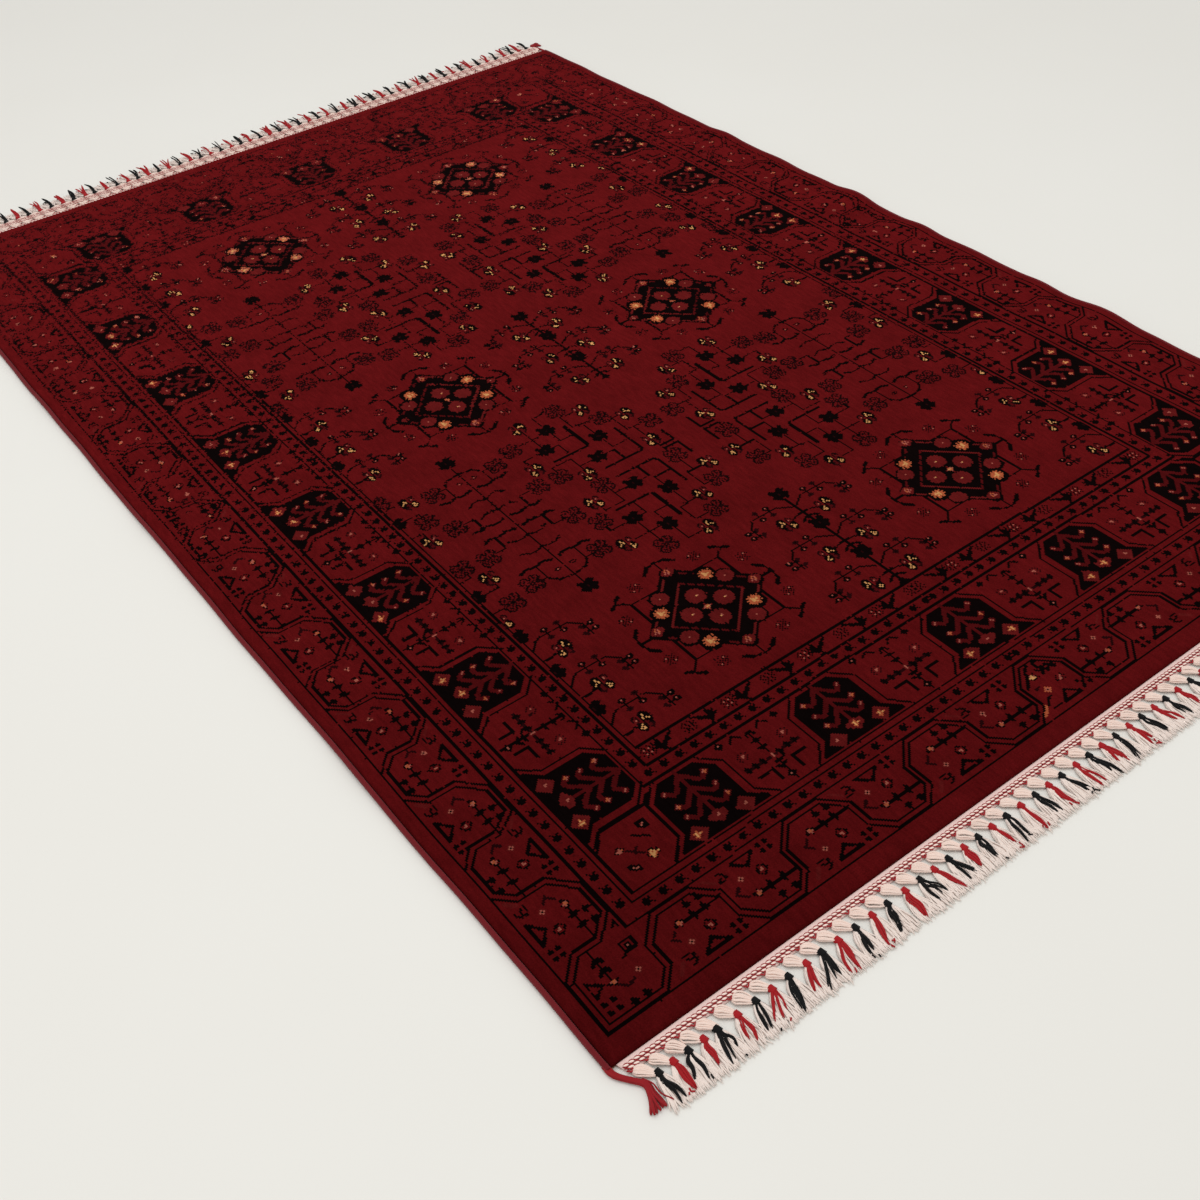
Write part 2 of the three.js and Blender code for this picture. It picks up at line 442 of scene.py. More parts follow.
# The corner bay.
brush([(30, 55), (30, 36)], "k", 1.3)
for row in (48, 41.5):
    stamp(["...k...", "..kkkk.", ".kkkkkk", "kkk.kkk", "kk...kk"], 30, row)
stamp(STAR, 30, 33.8)
brush([(19, 41), (25.5, 36), (19, 31), (19, 41)], "k", 1.8)
stamp(RING, 42.5, 32)
brush([(44, 43.5), (44, 49), (50.5, 49), (50.5, 43.5), (44, 43.5), (41.5, 41.5)], "k", 1.5)
stamp(["kkk", "kpk", "kkk"], 47.3, 46.3)
for column, row in ((24.5, 27), (19.8, 22.3), (24.8, 22.3), (19.8, 27)):
    stamp(["kk.", "kkk", "kkk"], column, row)
for column in (32, 38.5):
    stamp(SPRIG[1:6], column, 20.3)
brush([(31, 31), (34.5, 27.5), (39, 29.5)], "d", 1.4)
brush([(50, 57.5), (50, 60.5), (47.5, 58)], "k", 1.6)

# First guard, with a leaf every ten knots, and the lines on both its sides.
for line, width, yarn in ((53.8, 1.6, "k"), (62.9, 1.3, "k"), (66.8, 1.6, "k")):
    inward = line - 1.0 if line < 60 else line
    brush([(inward, line), (MIDDLE_COLUMN, line)], yarn, width)
    brush([(inward, line), (inward, MIDDLE_ROW)], yarn, width)
for step in range(26):
    stamp(LEAF, 68.5 + 10 * step, 59)
for step in range(41):
    stamp(LEAF, 66 + 10 * step, 58, lambda s, t: (t, s))

# Main border: black palmettes, and red fields with twigs between them.
STAR_BLOOM = ["...o..", ".oco.m", "m.coco", ".oco..", "..o.m."]


def palmette(place, stars):
    body = [(28.5, 68.5), (28.5, 70), (20.5, 78), (20.5, 102), (12, 111), (-12, 111), (-20.5, 102)]
    body += [(-20.5, 78), (-28.5, 70), (-28.5, 68.5)]
    patch(body, "k", place)
    for side in (-1, 1):
        edge = [(33.5, 68), (24.3, 78.5), (24.3, 103), (14, 113.4)]
        brush([(side * s, t) for s, t in edge], "k", 1.4, place)
        for t in (109, 99.5, 91):
            arm = [(0, t), (side * 7, t - 8), (side * 9.5, t - 9), (side * 12, t - 6.5)]
            brush(arm, "m", 2.7, place)
        lozenge(side * 15.3, 74, 6.0, 6.0, "r", place)
    brush([(0, 80.5), (0, 112)], "m", 2.6, place)
    patch([(-5.5, 78.5), (-5.5, 76.5), (0, 72), (5.5, 76.5), (5.5, 78.5), (0, 81)], "r", place)
    for s, t, yarn in stars:
        tip = abs(s) < 14 and t > 80
        if yarn == "o":
            stamp(["..m..", ".mpm.", "mpoom", ".mom.", "..m.."] if tip else STAR_BLOOM, s, t, place)
        else:
            stamp([".mr.", "mrpm", "mpr.", ".m.."] if tip else ["rpr", "pp.", ".r."], s, t, place)


TIPS = [(-12.5, 103, "p"), (12.5, 103, "o"), (-12.5, 93, "o"), (12.5, 93, "p"), (-12.5, 85, "p")]
TIPS += [(12.5, 85, "o"), (-15.3, 74, "o"), (15.3, 74, "p"), (0, 77, "p")]
OTHER_TIPS = [(-s, t, yarn) for s, t, yarn in TIPS[:6]]
OTHER_TIPS += [(-15.3, 74, "p"), (15.3, 74, "o"), (0, 77, "o")]


def twig_field(place):
    brush([(0, 69), (0, 108)], "k", 1.3, place)
    brush([(-18, 88.5), (18, 88.5)], "d", 1.2, place)
    stamp(["..k.k..", "kkkkkkk", "..kkk..", "...k..."], 0, 101, place)
    stamp(["...k...", "kkkkkk.", ".kkkkk.", "..kk..."], 0, 96, place)
    brush([(-3, 83.7), (0, 83), (3, 84), (6, 87.5)], "k", 1.5, place)
    stamp(["kkk.kkkk", ".kkkkkk.", "..kkk...", "...k...."], 0, 78.7, place)
    brush([(-2.5, 106.3), (-1.5, 108.3), (1.5, 108.3), (2.4, 106.3)], "k", 1.5, place)
    for s in (-16.5, -11.5, -6.5, 4.8, 10.3, 15.7):
        stamp(TWIG_LEAF, s, 88.5, place)
    stamp(["..r..", ".rpr.", ".rp..", ".rpr.", "..r.."], -0.5, 89, place)
    stamp(["..kk..", ".kkkk.", "kkpkkk", ".kkkk.", "..kk.."], 0, 72.7, place)
    for side in (-1, 1):
        brush([(side * 15.5, 81.8), (side * 7.2, 81.8), (side * 7.2, 73.3)], "k", 2.1, place)
        stamp(["..d.d..", ".d.rr.d", "d.rppr.", ".drpr.d", "d.rr.d.", ".d..d.."], side * 13.8, 97, place)
        brush([(side * 12.5, 108.6), (side * 9, 112)], "k", 1.5, place)
        brush([(side * 9, 112), (side * 5.5, 108.6)], "k", 1.5, place)
    stamp(["..k..", ".kkk.", "kkpkk", "kkkkk", ".kkk.", "..k.."], -18.7, 110, place)
    stamp(["..k..", ".kkk.", "kkkkk", ".kkkk", "..k.."], 19, 110, place)


NEAR_PALMETTES = (128.5, 222.5, MIDDLE_COLUMN)
SIDE_PALMETTES = (131.5, 229, 326.3, 423.6)
for turn, middle in enumerate(NEAR_PALMETTES):
    palmette(lambda s, t: (middle + s, t), OTHER_TIPS if turn % 2 else TIPS)
for middle in (175.3, 272):
    twig_field(lambda s, t: (middle + s, t))
for turn, middle in enumerate(SIDE_PALMETTES):
    palmette(lambda s, t: (t - 1, middle + s), OTHER_TIPS if turn % 2 else TIPS)
for middle in (180.3, 277.7, 375, MIDDLE_ROW):
    twig_field(lambda s, t: (t, middle + s))

# The corner field of the main border.
brush([(68, 96), (76, 105.3), (104.5, 105.3), (104.5, 79), (94, 68)], "k", 1.4)
brush([(104.5, 105.3), (109, 109)], "k", 3)
stamp(["..kkk..", ".kock.k", "k.cockk", "kocccoc", ".kcco.k", "..cok..", "...k..."], 89, 78.5)
stamp(["..kk..", ".krpk.", "kpppok", ".kppk.", "..k..."], 77.3, 90)
stamp(["kk.kkk", "kkkkkk", "kk.pkk", "kkpkkk", ".kkkkk", "..kkkk"], 95.5, 96)
stamp(["kkk...", "kkkk..", "kkpkkk", ".kkppk", "..kkkk", "....kk"], 77, 77)
brush([(79, 88), (87, 81)], "d", 1.3)
brush([(87, 94), (94, 88.5)], "k", 1.5)
brush([(82, 84), (84.5, 87)], "d", 1.3)

# Second guard, and the inner stripe of birds and seed flowers, which only the ends have.
for line, inward, width in ((114.3, 110.7, 1.4), (124.5, 120.7, 1.5), (137.5, 123.8, 1.4)):
    brush([(inward, line), (MIDDLE_COLUMN, line)], "k", width)
    brush([(inward, line), (inward, MIDDLE_ROW)], "k", width)
for step in range(21):
    stamp(LEAF, 119 + 10 * step, 119.5)
for step in range(35):
    stamp(LEAF, 130 + 10 * step, 115.7, lambda s, t: (t, s))
SEED_CLUSTER = [
    "..k..k..k",
    ".k.k..k..",
    "k.pk.pk.k",
    ".k..k..k.",
    "..k.k.k.k",
    "k.pk.pk..",
    "..k.k..k.",
    ".k..k.k..",
]
for step in range(8):
    stamp(BIRD, 139 + 27.3 * step, 131, flip=step % 2 == 1)
for step in range(4):
    stamp(SEED_CLUSTER, 127.5 + 54.5 * step, 131)
    stamp([line.replace("p", "r") for line in SEED_CLUSTER], 155 + 54.5 * step, 130.5)

# The field's pattern is cut off at its frame line, so the border beside it is kept here.
FIELD_START = 118
border = paper[:, :FIELD_START].copy()

# Medallion: a black diamond over a thin frame, with blooms along its edges and at its heart.
def hooked_end(turn, c, r):
    along, away = turn
    place = lambda s, t: (c + s * along[0] + t * away[0], r + s * along[1] + t * away[1])
    brush([(0, 0), (0, 8)], "k", 1.3, place)
    brush([(-11, 2.5), (-6.5, 6.3), (0, 8), (6.5, 6.3), (11, 2.5)], "k", 1.6, place)
    for side in (-1, 1):
        brush([(side * 11, 2.5), (side * 6.5, 6.3)], "k", 2.6, place)


def medallion(c, r):
    place = lambda s, t: (c + s, r + t)
    frame_line = [(-32.5, -28.5), (32.5, -28.5), (32.5, 29.5), (-32.5, 29.5), (-32.5, -28.5)]
    brush(frame_line, "k", 1.5, place)
    lozenge(0, 0, 42.5, 42.5, "k", place)
    # Two red lines follow the diamond. On two of its four sides they are darker and broken.
    for reach in (39.2, 26):
        for way in (-1, 1):
            brush([(-reach * way, 0), (0, reach * way)], "r", 1.4, place)
            for part in range(0, 13, 2):
                ends = (part / 13, (part + 1) / 13)
                brush([(way * reach * t, way * reach * (1 - t)) for t in ends], "m", 1.5, place)
    blooms = [(-24, -13, "r"), (-17, -23, "o"), (-17, 22.5, "r"), (-24, 12.5, "o")]
    blooms += [(17, 22.5, "o"), (24.5, 14, "r"), (24, -13, "o"), (17, -22.5, "r")]
    for s, t, _ in blooms:
        disc(s, t, 7, "k", place)
    for s, t, yarn in blooms:
        stamp(BLOOM if yarn == "o" else RED_BLOOM, s, t, place)
    for s, t in ((-35, 1), (36, 0.5), (0, -36), (0.5, 37)):
        disc(s, t, 5.2, "k", place)
        stamp(TIP_BLOOM, s, t, place)
    for s, t in ((-11.5, 0.5), (12.5, 0.5), (0.5, 11.5), (0.5, -10.5)):
        disc(s, t, 6.2, "r", place)
        stamp([".r.", "rcp", ".r."], s, t, place)
    lozenge(0, 0, 5.5, 5.5, "k", place)
    stamp(["...r...", "...r...", "..poo..", "rpoccpr", "..ooo..", "...p...", "...r..."], 0, 0, place)
    for across in (-1, 1):
        for up in (-1, 1):
            hook = [(32.5, 29), (36.5, 33), (40, 35.5), (43.5, 33)]
            turned = [(across * s, up * t) for s, t in hook]
            brush(turned[:3], "k", 1.3, place)
            brush([(across * 34.5, up * 39.5), (across * 37, up * 38)], "k", 2.6, place)
            brush([(across * 37, up * 38), (across * 40, up * 35)], "k", 1.6, place)
            brush([(across * 40, up * 35), (across * 43, up * 33)], "k", 2.6, place)
            stamp(SEED_FLOWER, c + across * 22, r + up * 39, flip=across < 0)
            stamp(SEED_FLOWER, c + across * 43.5, r + up * 20, flip=across > 0)
    hooked_end(((1, 0), (0, 1)), c, r + 42)
    hooked_end(((1, 0), (0, -1)), c, r - 41)
    hooked_end(((0, 1), (1, 0)), c + 41, r)
    hooked_end(((0, 1), (-1, 0)), c - 41, r)


MEDALLION_COLUMN, MEDALLION_ROW = 222, 195.5
medallion(MEDALLION_COLUMN, MEDALLION_ROW)
medallion(MEDALLION_COLUMN, MIDDLE_ROW)

# Between the medallions: a tree with drooping boughs, and a lattice of stems and flowers. Both
# are the same upwards and downwards from this row, but cream flowers and rosettes change places.
FOLD_ROW = 332.3


def both_ways(points, yarn, width):
    brush(points, yarn, width)
    brush([(c, 2 * FOLD_ROW - r) for c, r in points], yarn, width)


TREE = 181.0
brush([(TREE, 258), (TREE, 407)], "k", 1.3)
for side in (-1, 1):
    bough = lambda points: [(TREE + side * s, r) for s, r in points]
    both_ways(bough([(14, 288), (14, 275), (9.5, 269.5), (0, 268)]), "k", 1.6)
    both_ways(bough([(14, 276), (19, 276)]), "k", 1.2)
    both_ways(bough([(3, 287.5), (8, 289.7), (13, 288.5)]), "k", 2.3)
    both_ways(bough([(15.5, 288), (20, 289.7), (25, 287.5)]), "k", 2.3)
    both_ways(bough([(0, 301.5), (4.5, 299.7), (9, 299.7), (13.5, 303)]), "k", 1.6)
    both_ways(bough([(0, 316.5), (4.5, 314.7), (9, 314.9), (13.5, 317.5)]), "k", 1.6)
    both_ways(bough([(3, 325.7), (8, 327.3), (14, 326)]), "k", 2.3)
    both_ways(bough([(17, 326), (21, 327.2), (25, 325.3)]), "k", 2.3)
    both_ways(bough([(17.7, 326), (17.7, 314), (25, 313.7)]), "k", 1.4)
    for row in (277.5, 2 * FOLD_ROW - 277.5):
        stamp([".kkk.", "k.p.k", ".kkk."], TREE + side * 5.5, row)
    for away, row in ((24.5, 277), (31.5, 313), (31.5, 351), (24.3, 388)):
        stamp(ROSETTE, TREE + side * away, row)
stamp(BLACK_FLOWER, TREE, 254)
stamp(BLACK_FLOWER, TREE, 411)

STEMS = [
    [(221.5, 291), (221.5, 286), (233, 286)],
    [(239, 281), (239, 259)],
    [(228, 269.7), (247, 269.7)],
    [(249, 299), (249, 286), (244, 286)],
    [(253, 263), (253, 250), (263, 250)],
    [(253, 273), (253, 283), (263, 283)],
    [(281, 277.5), (268, 275.5), (268, 261), (278, 261)],
    [(275, 291), (275, 277)],
    [(275, 301), (275, 310.5), (288, 310.5)],
    [(273.5, 326), (273.5, 313.7), (266, 313.7)],
    [(256, 313.7), (246, 313.7)],
    [(246, 319), (246, 304), (231, 304), (231, 308)],
    [(299, 314), (299, 300.5), (293.7, 300.5), (293.7, 284), (299, 284)],
    [(299, 300.5), (305, 300.5)],
    [(299, 326), (299, 330.3), (310.5, 330.3)],
    [(246, 330), (246, 332.3)],
]
BARS = [
    [(236.5, 299.5), (262, 299.5), (264, 297.5), (264, 270.5)],
    [(258, 326.5), (286, 326.5), (288.5, 324), (288.5, 295.5)],
    [(310.5, 316), (310.5, 330)],
]
for stem in STEMS:
    both_ways(stem, "k", 1.25)
for bar in BARS:
    both_ways(bar, "k", 2.2)
for column, row in ((239, 286), (252, 268), (261, 314), (275, 296)):
    stamp(BLACK_FLOWER, column, row)
    stamp(BLACK_FLOWER, column, 2 * FOLD_ROW - row)
CREAM_FLOWERS = [(221, 269), (230, 314), (269, 250), (287, 277), (311, 300), (222, 366), (245, 340)]
CREAM_FLOWERS += [(239, 411), (284, 402), (304, 379), (299, 343), (140, 297), (132, 349), (141, 391)]
for turn, (column, row) in enumerate(CREAM_FLOWERS):
    stamp(FLOWER, column, row, flip=turn not in (2, 5, 6, 7, 8, 9, 10))
MADDER_FLOWERS = [(239, 254), (222, 297), (245, 325), (284, 261), (304, 284), (300, 320), (230, 350)]
MADDER_FLOWERS += [(221, 394), (269, 413), (288, 386), (312, 362), (132, 315), (139, 271), (140, 368)]
MADDER_FLOWERS += [(125, 403)]
for column, row in MADDER_FLOWERS:
    stamp(ROSETTE, column, row)
for row in (287, 377):
    stamp(BLACK_FLOWER, 124, row)
stamp(FLOWER, 124, 260, flip=True)
LINKS = [
    [(124, 270), (132, 270)],
    [(130, 287), (140, 287), (140, 291)],
    [(132, 309), (132, 305), (124, 305)],
]
for link in LINKS:
    both_ways(link, "k", 1.3)
both_ways([(123.5, 262), (122.5, 266), (122.5, 280)], "k", 1.6)

# The quarter is turned over to the far end.
paper[:, :FIELD_START] = border
paper[PAPER_ROWS // 2 :] = paper[: PAPER_ROWS // 2][::-1]
border = paper[:, :FIELD_START].copy()

# Flower sprays climb the field along its sides and up its middle, the same way up in each row.
SPRAY_STARTS = (0, 284, 557.5)
TIERS, TIER_STEP = 3, 36
for start in SPRAY_STARTS:
    for tier in range(TIERS):
        up = start + TIER_STEP * tier
        turned = tier == 1
        stalk = [(124, 157), (128, 162), (133, 165), (152, 165), (158, 159)]
        brush([(c, r + up) for c, r in stalk], "k", 1.4)
        for column in (139, 147.5):
            stamp(BUDS_ON_STALK if column < 140 else BUDS_ON_STALK[::-1], column, 165 + up)
        stamp(FLOWER, 139, 148.5 + up, flip=turned)
        brush([(124.5, 148 + up), (127.5, 147 + up), (133, 148.5 + up)], "k", 1.6)
        stamp(FOUR_BUDS, 160, 152.5 + up)
        stamp(BLACK_FLOWER, 124, 172 + up)
        brush([(286, 158 + up), (292, 165 + up), (311, 165 + up), (MIDDLE_COLUMN, 158 + up)], "k", 1.4)
        for column in (297.5, 306):
            stamp(BUDS_ON_STALK if column > 300 else BUDS_ON_STALK[::-1], column, 165 + up)
        stamp(FLOWER, 305.5, 148 + up, flip=not turned)
        brush([(311, 148.5 + up), (315, 151 + up), (MIDDLE_COLUMN, 151.5 + up)], "k", 1.4)
        brush([(315.5, 144 + up), (MIDDLE_COLUMN, 147.5 + up)], "k", 1.8)
        stamp(FOUR_BUDS, 285, 152.5 + up, flip=True)
    brush([(MIDDLE_COLUMN, 138 + start), (MIDDLE_COLUMN, 240 + start)], "k", 1.4)
    patch([(317, 138 + start), (MIDDLE_COLUMN, 144 + start), (326, 138 + start)], "k")
paper[:, :FIELD_START] = border
paper[:, PAPER_COLUMNS // 2 :] = paper[:, : PAPER_COLUMNS // 2][:, ::-1]
for start in SPRAY_STARTS:
    for tier in range(TIERS):
        stamp(BLACK_FLOWER, MIDDLE_COLUMN + 0.5, 172.5 + start + TIER_STEP * tier)

# The bay in the middle of each end and of each long side lies across the line where the pattern
# turns over, so it is filled last.
PALE_STAR = ["..k..k.", ".kpck..", "kcccpkr", ".kccck.", "..kkk.k"]
CROSS_FLOWER = ["k...kk.", "kk.kkkk", ".kkkkk.", "..kkkk.", ".kkk.kk", ".kk..k."]
PINK_FLOWER = ["..k..k.", ".k.rpk.", "k.rpr.k", "kkppk..", "..kk.k."]
CROSSED_BUDS = ["kk...kk.", "kk..kkk.", "..kkk...", "..kk....", ".kk..kkk", "kkk..kkk", "kk....k."]


def end_bay(place):
    brush([(308, 36.3), (313.5, 41), (316, 45.5), (320.5, 48.5)], "k", 1.8, place)
    stamp(PALE_STAR, 316.8, 41, place)
    stamp(CROSS_FLOWER, 324.5, 41.3, place)
    stamp(CROSS_FLOWER[::-1], 331, 41, place)
    brush([(324.5, 44.5), (325, 48), (328, 48.5)], "k", 2.0, place)
    brush([(311, 33.3), (313.5, 33.8)], "d", 1.4, place)
    stamp(["..o..", ".opo.", "op.po", ".opo.", "..o.."], 315.8, 30.2, place)
    stamp(["k"], 315.8, 30.2, place)
    stamp(PINK_FLOWER, 327.5, 32, place)
    brush([(300.5, 17.8), (306.3, 22.4)], "o", 1.5, place)
    brush([(307.5, 22), (310.5, 25.3), (313.5, 25.8)], "k", 1.4, place)
    brush([(308.5, 18.8), (313.5, 18.6)], "k", 1.4, place)
    brush([(316, 18.6), (329, 18.6), (322.5, 24.8), (316.5, 18.6)], "k", 1.9, place)
    stamp(CROSSED_BUDS, 335.8, 22, place)


def side_bay(place):
    brush([(38.3, 492), (38.3, 466)], "d", 1.4, place)
    stamp(["kk.k.", ".kkkk", ".kkk."], 38, 477.5, place)
    stamp([".kk..", "kkkkk", ".kkk."], 38.3, 472.5, place)
    stamp([".d.d.", "drprd", ".rcr.", "d.d.d"], 38.3, 465, place)
    stamp([".d..", "d.rd", ".rr."], 28.5, 477.5, place)
    stamp(["kk", "kk"], 45, 475, place)
    stamp(["kk", "kk"], 44.8, 468, place)
    stamp(CROSSED_BUDS, 20, 484.5, place)
    brush([(17, 477), (17, 467), (20.3, 472.8), (17, 477)], "k", 1.3, place)
    brush([(15.3, 461.8), (17.7, 457.2), (20.8, 461.8)], "k", 1.8, place)


for turned in (False, True):
    end_bay(lambda s, t: (s, 2 * MIDDLE_ROW - t if turned else t))
    side_bay(lambda s, t: (2 * MIDDLE_COLUMN - s if turned else s, t))

# The weft isn't quite square to the sides: on the right, and along the left border past the middle,
# the pattern sits a few knots nearer the near end. Each line is one column of knots, with its shift
# in knots at seven rows from the near end to the far end. The columns are shifted too, each row alike.
SHIFT_ROWS = (30, 120, 290, 440, 620, 770, 860)
SHIFTS = {
    80: (-0.5, -1.0, -1.5, -2.5, -3.0, -1.0, 0.5),
    240: (0.0, -0.5, -1.0, -1.5, 0.0, 0.0, 1.0),
    420: (-0.5, -1.5, -2.0, -2.5, -0.5, -1.0, 1.0),
    560: (-1.0, -2.5, -3.5, -4.0, -3.5, -2.5, -0.5),
}
SIDE_SHIFTS = ((160, 0.0), (340, -0.4), (420, -1.1), (480, -0.6), (540, 0.8))
rows, columns = np.indices(paper.shape)
lines = np.stack([np.interp(rows[:, 0], SHIFT_ROWS, shift) for shift in SHIFTS.values()])
weft_shift = np.stack([np.interp(columns[0], tuple(SHIFTS), lines[:, row]) for row in rows[:, 0]])
warp_shift = np.interp(columns, *zip(*SIDE_SHIFTS))
paper = paper[
    np.clip(np.floor(rows - weft_shift + 0.49).astype(int), 0, PAPER_ROWS - 1),
    np.clip(np.floor(columns - warp_shift + 0.49).astype(int), 0, PAPER_COLUMNS - 1),
]

# Single tufts lean into their neighbours' places. The far part of the pattern looks the most mixed in
# the photograph, so they stray further there. The places are shares of the rug's length from its near
# end, and the strays are in knots.
STRAY_PLACES, STRAYS = (0, 0.3, 0.65, 1), (0.17, 0.28, 0.55, 1.0)
STRAY_ACROSS = 0.8
lean_random = np.random.default_rng(8)
strayed = np.interp(rows / PAPER_ROWS, STRAY_PLACES, STRAYS)
leant_rows = np.rint(rows + strayed * lean_random.normal(0, 1, paper.shape)).astype(int)
strayed_across = STRAY_ACROSS * strayed
leant_columns = np.rint(columns + strayed_across * lean_random.normal(0, 1, paper.shape)).astype(int)
paper = paper[np.clip(leant_rows, 0, PAPER_ROWS - 1), np.clip(leant_columns, 0, PAPER_COLUMNS - 1)]

# The far part also looks fainter there: a growing share of its orange, cream and black tufts takes
# a yarn nearer to the ground. Black tufts in the midst of others keep theirs.
DULL_PLACES, DULL_SHARES = (0.6, 0.8, 0.95), (0, 0.5, 0.92)
CROWDED = 8
dulled = lean_random.random(paper.shape) < np.interp(rows / PAPER_ROWS, DULL_PLACES, DULL_SHARES)
farthest = dulled & (rows > 0.86 * PAPER_ROWS)
paper[dulled & (paper == YARNS["o"])] = YARNS["p"]
black = np.pad(paper == YARNS["k"], 1).astype(int)
crowd = sum(
    black[1 + up : 1 + up + PAPER_ROWS, 1 + across : 1 + across + PAPER_COLUMNS]
    for up in (-1, 0, 1)
    for across in (-1, 0, 1)
)
paper[dulled & (paper == YARNS["k"]) & (crowd < CROWDED)] = YARNS["d"]
paper[farthest & (paper == YARNS["p"])] = YARNS["r"]
paper[farthest & (paper == YARNS["c"])] = YARNS["p"]

# The chart is laid on the pile in faces of six knots by four. A face keeps its knots, and one
# more all round, as whole numbers in which each binary digit is a knot. A number holds two rows.
FACE_COLUMNS, FACE_ROWS = 6, 4
ROW_DIGITS = FACE_COLUMNS + 2
column_counts = [2, 3] + [FACE_COLUMNS] * 104 + [3, 2]
row_counts = [2, 2] + [FACE_ROWS] * 233 + [2, 2]
column_starts = np.cumsum([0] + column_counts)
row_starts = np.cumsum([0] + row_counts)
PAPER_MARGIN = 8
padded_paper = np.pad(paper, PAPER_MARGIN, mode="edge")


def knot_words(digit):
    knots = (padded_paper >> digit) & 1
    words = np.zeros((len(row_counts), len(column_counts), 3))
    for row in range(FACE_ROWS + 2):
        for column in range(ROW_DIGITS):
            rows = row_starts[:-1] + row - 1 + PAPER_MARGIN
            columns = column_starts[:-1] + column - 1 + PAPER_MARGIN
            place = 2.0 ** (row % 2 * ROW_DIGITS + column)
            words[:, :, row // 2] += knots[np.ix_(rows, columns)] * place
    return words.reshape(-1, 3)


# The bake's square: where the patterned side starts and how much it fills, and a strip beside it.
FILL_START, FILL_SPAN = 0.0125, 0.985
STRIP_START, STRIP_SPAN = 0.001, 0.01


def cloth_slab(name, low, high, patterned_side):
    # A closed slab of the cloth between two heights, with rounded rims on its upper side.
    columns, rows = len(column_starts), len(row_starts)
    x, y = np.meshgrid(-HALF_WIDTH + column_starts * KNOT, -HALF_LENGTH + row_starts * KNOT)
    inward = np.minimum(HALF_WIDTH - np.abs(x), HALF_LENGTH - np.abs(y))
    rim = 1 - np.clip(inward / RIM_WIDTH, 0, 1)
    lift = cloth_lift(x, y)
    moved = x + cloth_sway(x, y)
    upper = np.stack([moved, y, lift + high - RIM_DROP * (high - low) * rim ** 2], -1).reshape(-1, 3)
    lower = np.stack([moved, y, lift + low], -1).reshape(-1, 3)
    index = np.arange(columns * rows).reshape(rows, columns)
    quads = np.stack([index[:-1, :-1], index[:-1, 1:], index[1:, 1:], index[1:, :-1]], -1)
    quads = quads.reshape(-1, 4)
    ring = np.concatenate([index[0, :-1], index[:-1, -1], index[-1, :0:-1], index[:0:-1, 0]])
    after = np.roll(ring, -1)
    count = columns * rows
    sides = np.stack([ring + count, after + count, after, ring], -1)
    faces = np.concatenate([quads, quads[:, ::-1] + count, sides])
    mesh = bpy.data.meshes.new(name)
    mesh.from_pydata(np.concatenate([upper, lower]).tolist(), [], faces.tolist())
    # Only the flat sides are shaded smooth, so that the rim's slope doesn't darken the margin.
    facings = np.empty(len(faces) * 3)
    mesh.polygons.foreach_get("normal", facings)
    mesh.polygons.foreach_set("use_smooth", np.abs(facings[2::3]) > 0.6)
    # Knot numbers for every patterned face, and each face's own count across and along.
    top = len(quads)
    for digit, title in enumerate(("knots_ones", "knots_twos", "knots_fours")):
        words = np.zeros((len(faces), 3))
        words[:top] = words[top : 2 * top] = knot_words(digit)
        attribute = mesh.attributes.new(title, "FLOAT_VECTOR", "FACE")
        attribute.data.foreach_set("vector", words.ravel())
    across, along = np.meshgrid(column_counts, row_counts)
    zero = np.zeros_like(across)
    corners = [(zero, zero), (across, zero), (across, along), (zero, along)]
    within = np.stack([np.stack(c, -1) for c in corners], 2).reshape(-1, 4, 2).astype(float)
    flat = np.full((len(sides), 4, 2), 0.5)
    knot_uv = mesh.uv_layers.new(name="knots")
    knot_uv.data.foreach_set("uv", np.concatenate([within, within[:, ::-1], flat]).ravel())
    # The bake's own map: the patterned side fills the square, and the rest a strip at its edge.
    across, along = np.meshgrid(column_starts / PAPER_COLUMNS, row_starts / PAPER_ROWS)
    spread = np.stack([across, along], -1).reshape(-1, 2)
    fill = spread * FILL_SPAN + FILL_START
    strip = spread * (STRIP_SPAN, FILL_SPAN) + (STRIP_START, FILL_START)
    first, second = (fill, strip) if patterned_side == "upper" else (strip, fill)
    cuts = np.linspace(0, 1, len(ring) + 1)
    inner = np.full(len(ring), STRIP_START)
    outer = inner + STRIP_SPAN
    rim_corners = [(cuts[:-1], inner), (cuts[1:], inner), (cuts[1:], outer), (cuts[:-1], outer)]
    rim_quads = np.stack([np.stack(corner, -1) for corner in rim_corners], 1)
    bake_uv = mesh.uv_layers.new(name="OFBake")
    values = np.concatenate([first[quads], second[quads[:, ::-1]], rim_quads])
    bake_uv.data.foreach_set("uv", values.ravel())
    slab = bpy.data.objects.new(name, mesh)
    bpy.context.collection.objects.link(slab)
    return slab


pile = cloth_slab("pile", BACK_THICKNESS + 0.0002, PILE_TOP, "upper")


def node(tree, kind, at=None, **inputs):
    # Adds a node. Its inputs go by name, with a line for a space, or as i0, i1 and so on by number.
    made = tree.nodes.new(kind)
    for key, value in (at or {}).items():
        setattr(made, key, value)
    for key, value in inputs.items():
        socket = made.inputs[int(key[1:])] if key[1:].isdigit() else made.inputs[key.replace("_", " ")]
        if isinstance(value, bpy.types.NodeSocket):
            tree.links.new(value, socket)
        else:
            socket.default_value = value
    return made


def sum_of(tree, operation, a, b=0.0, c=0.0):
    return node(tree, "ShaderNodeMath", {"operation": operation}, i0=a, i1=b, i2=c).outputs[0]


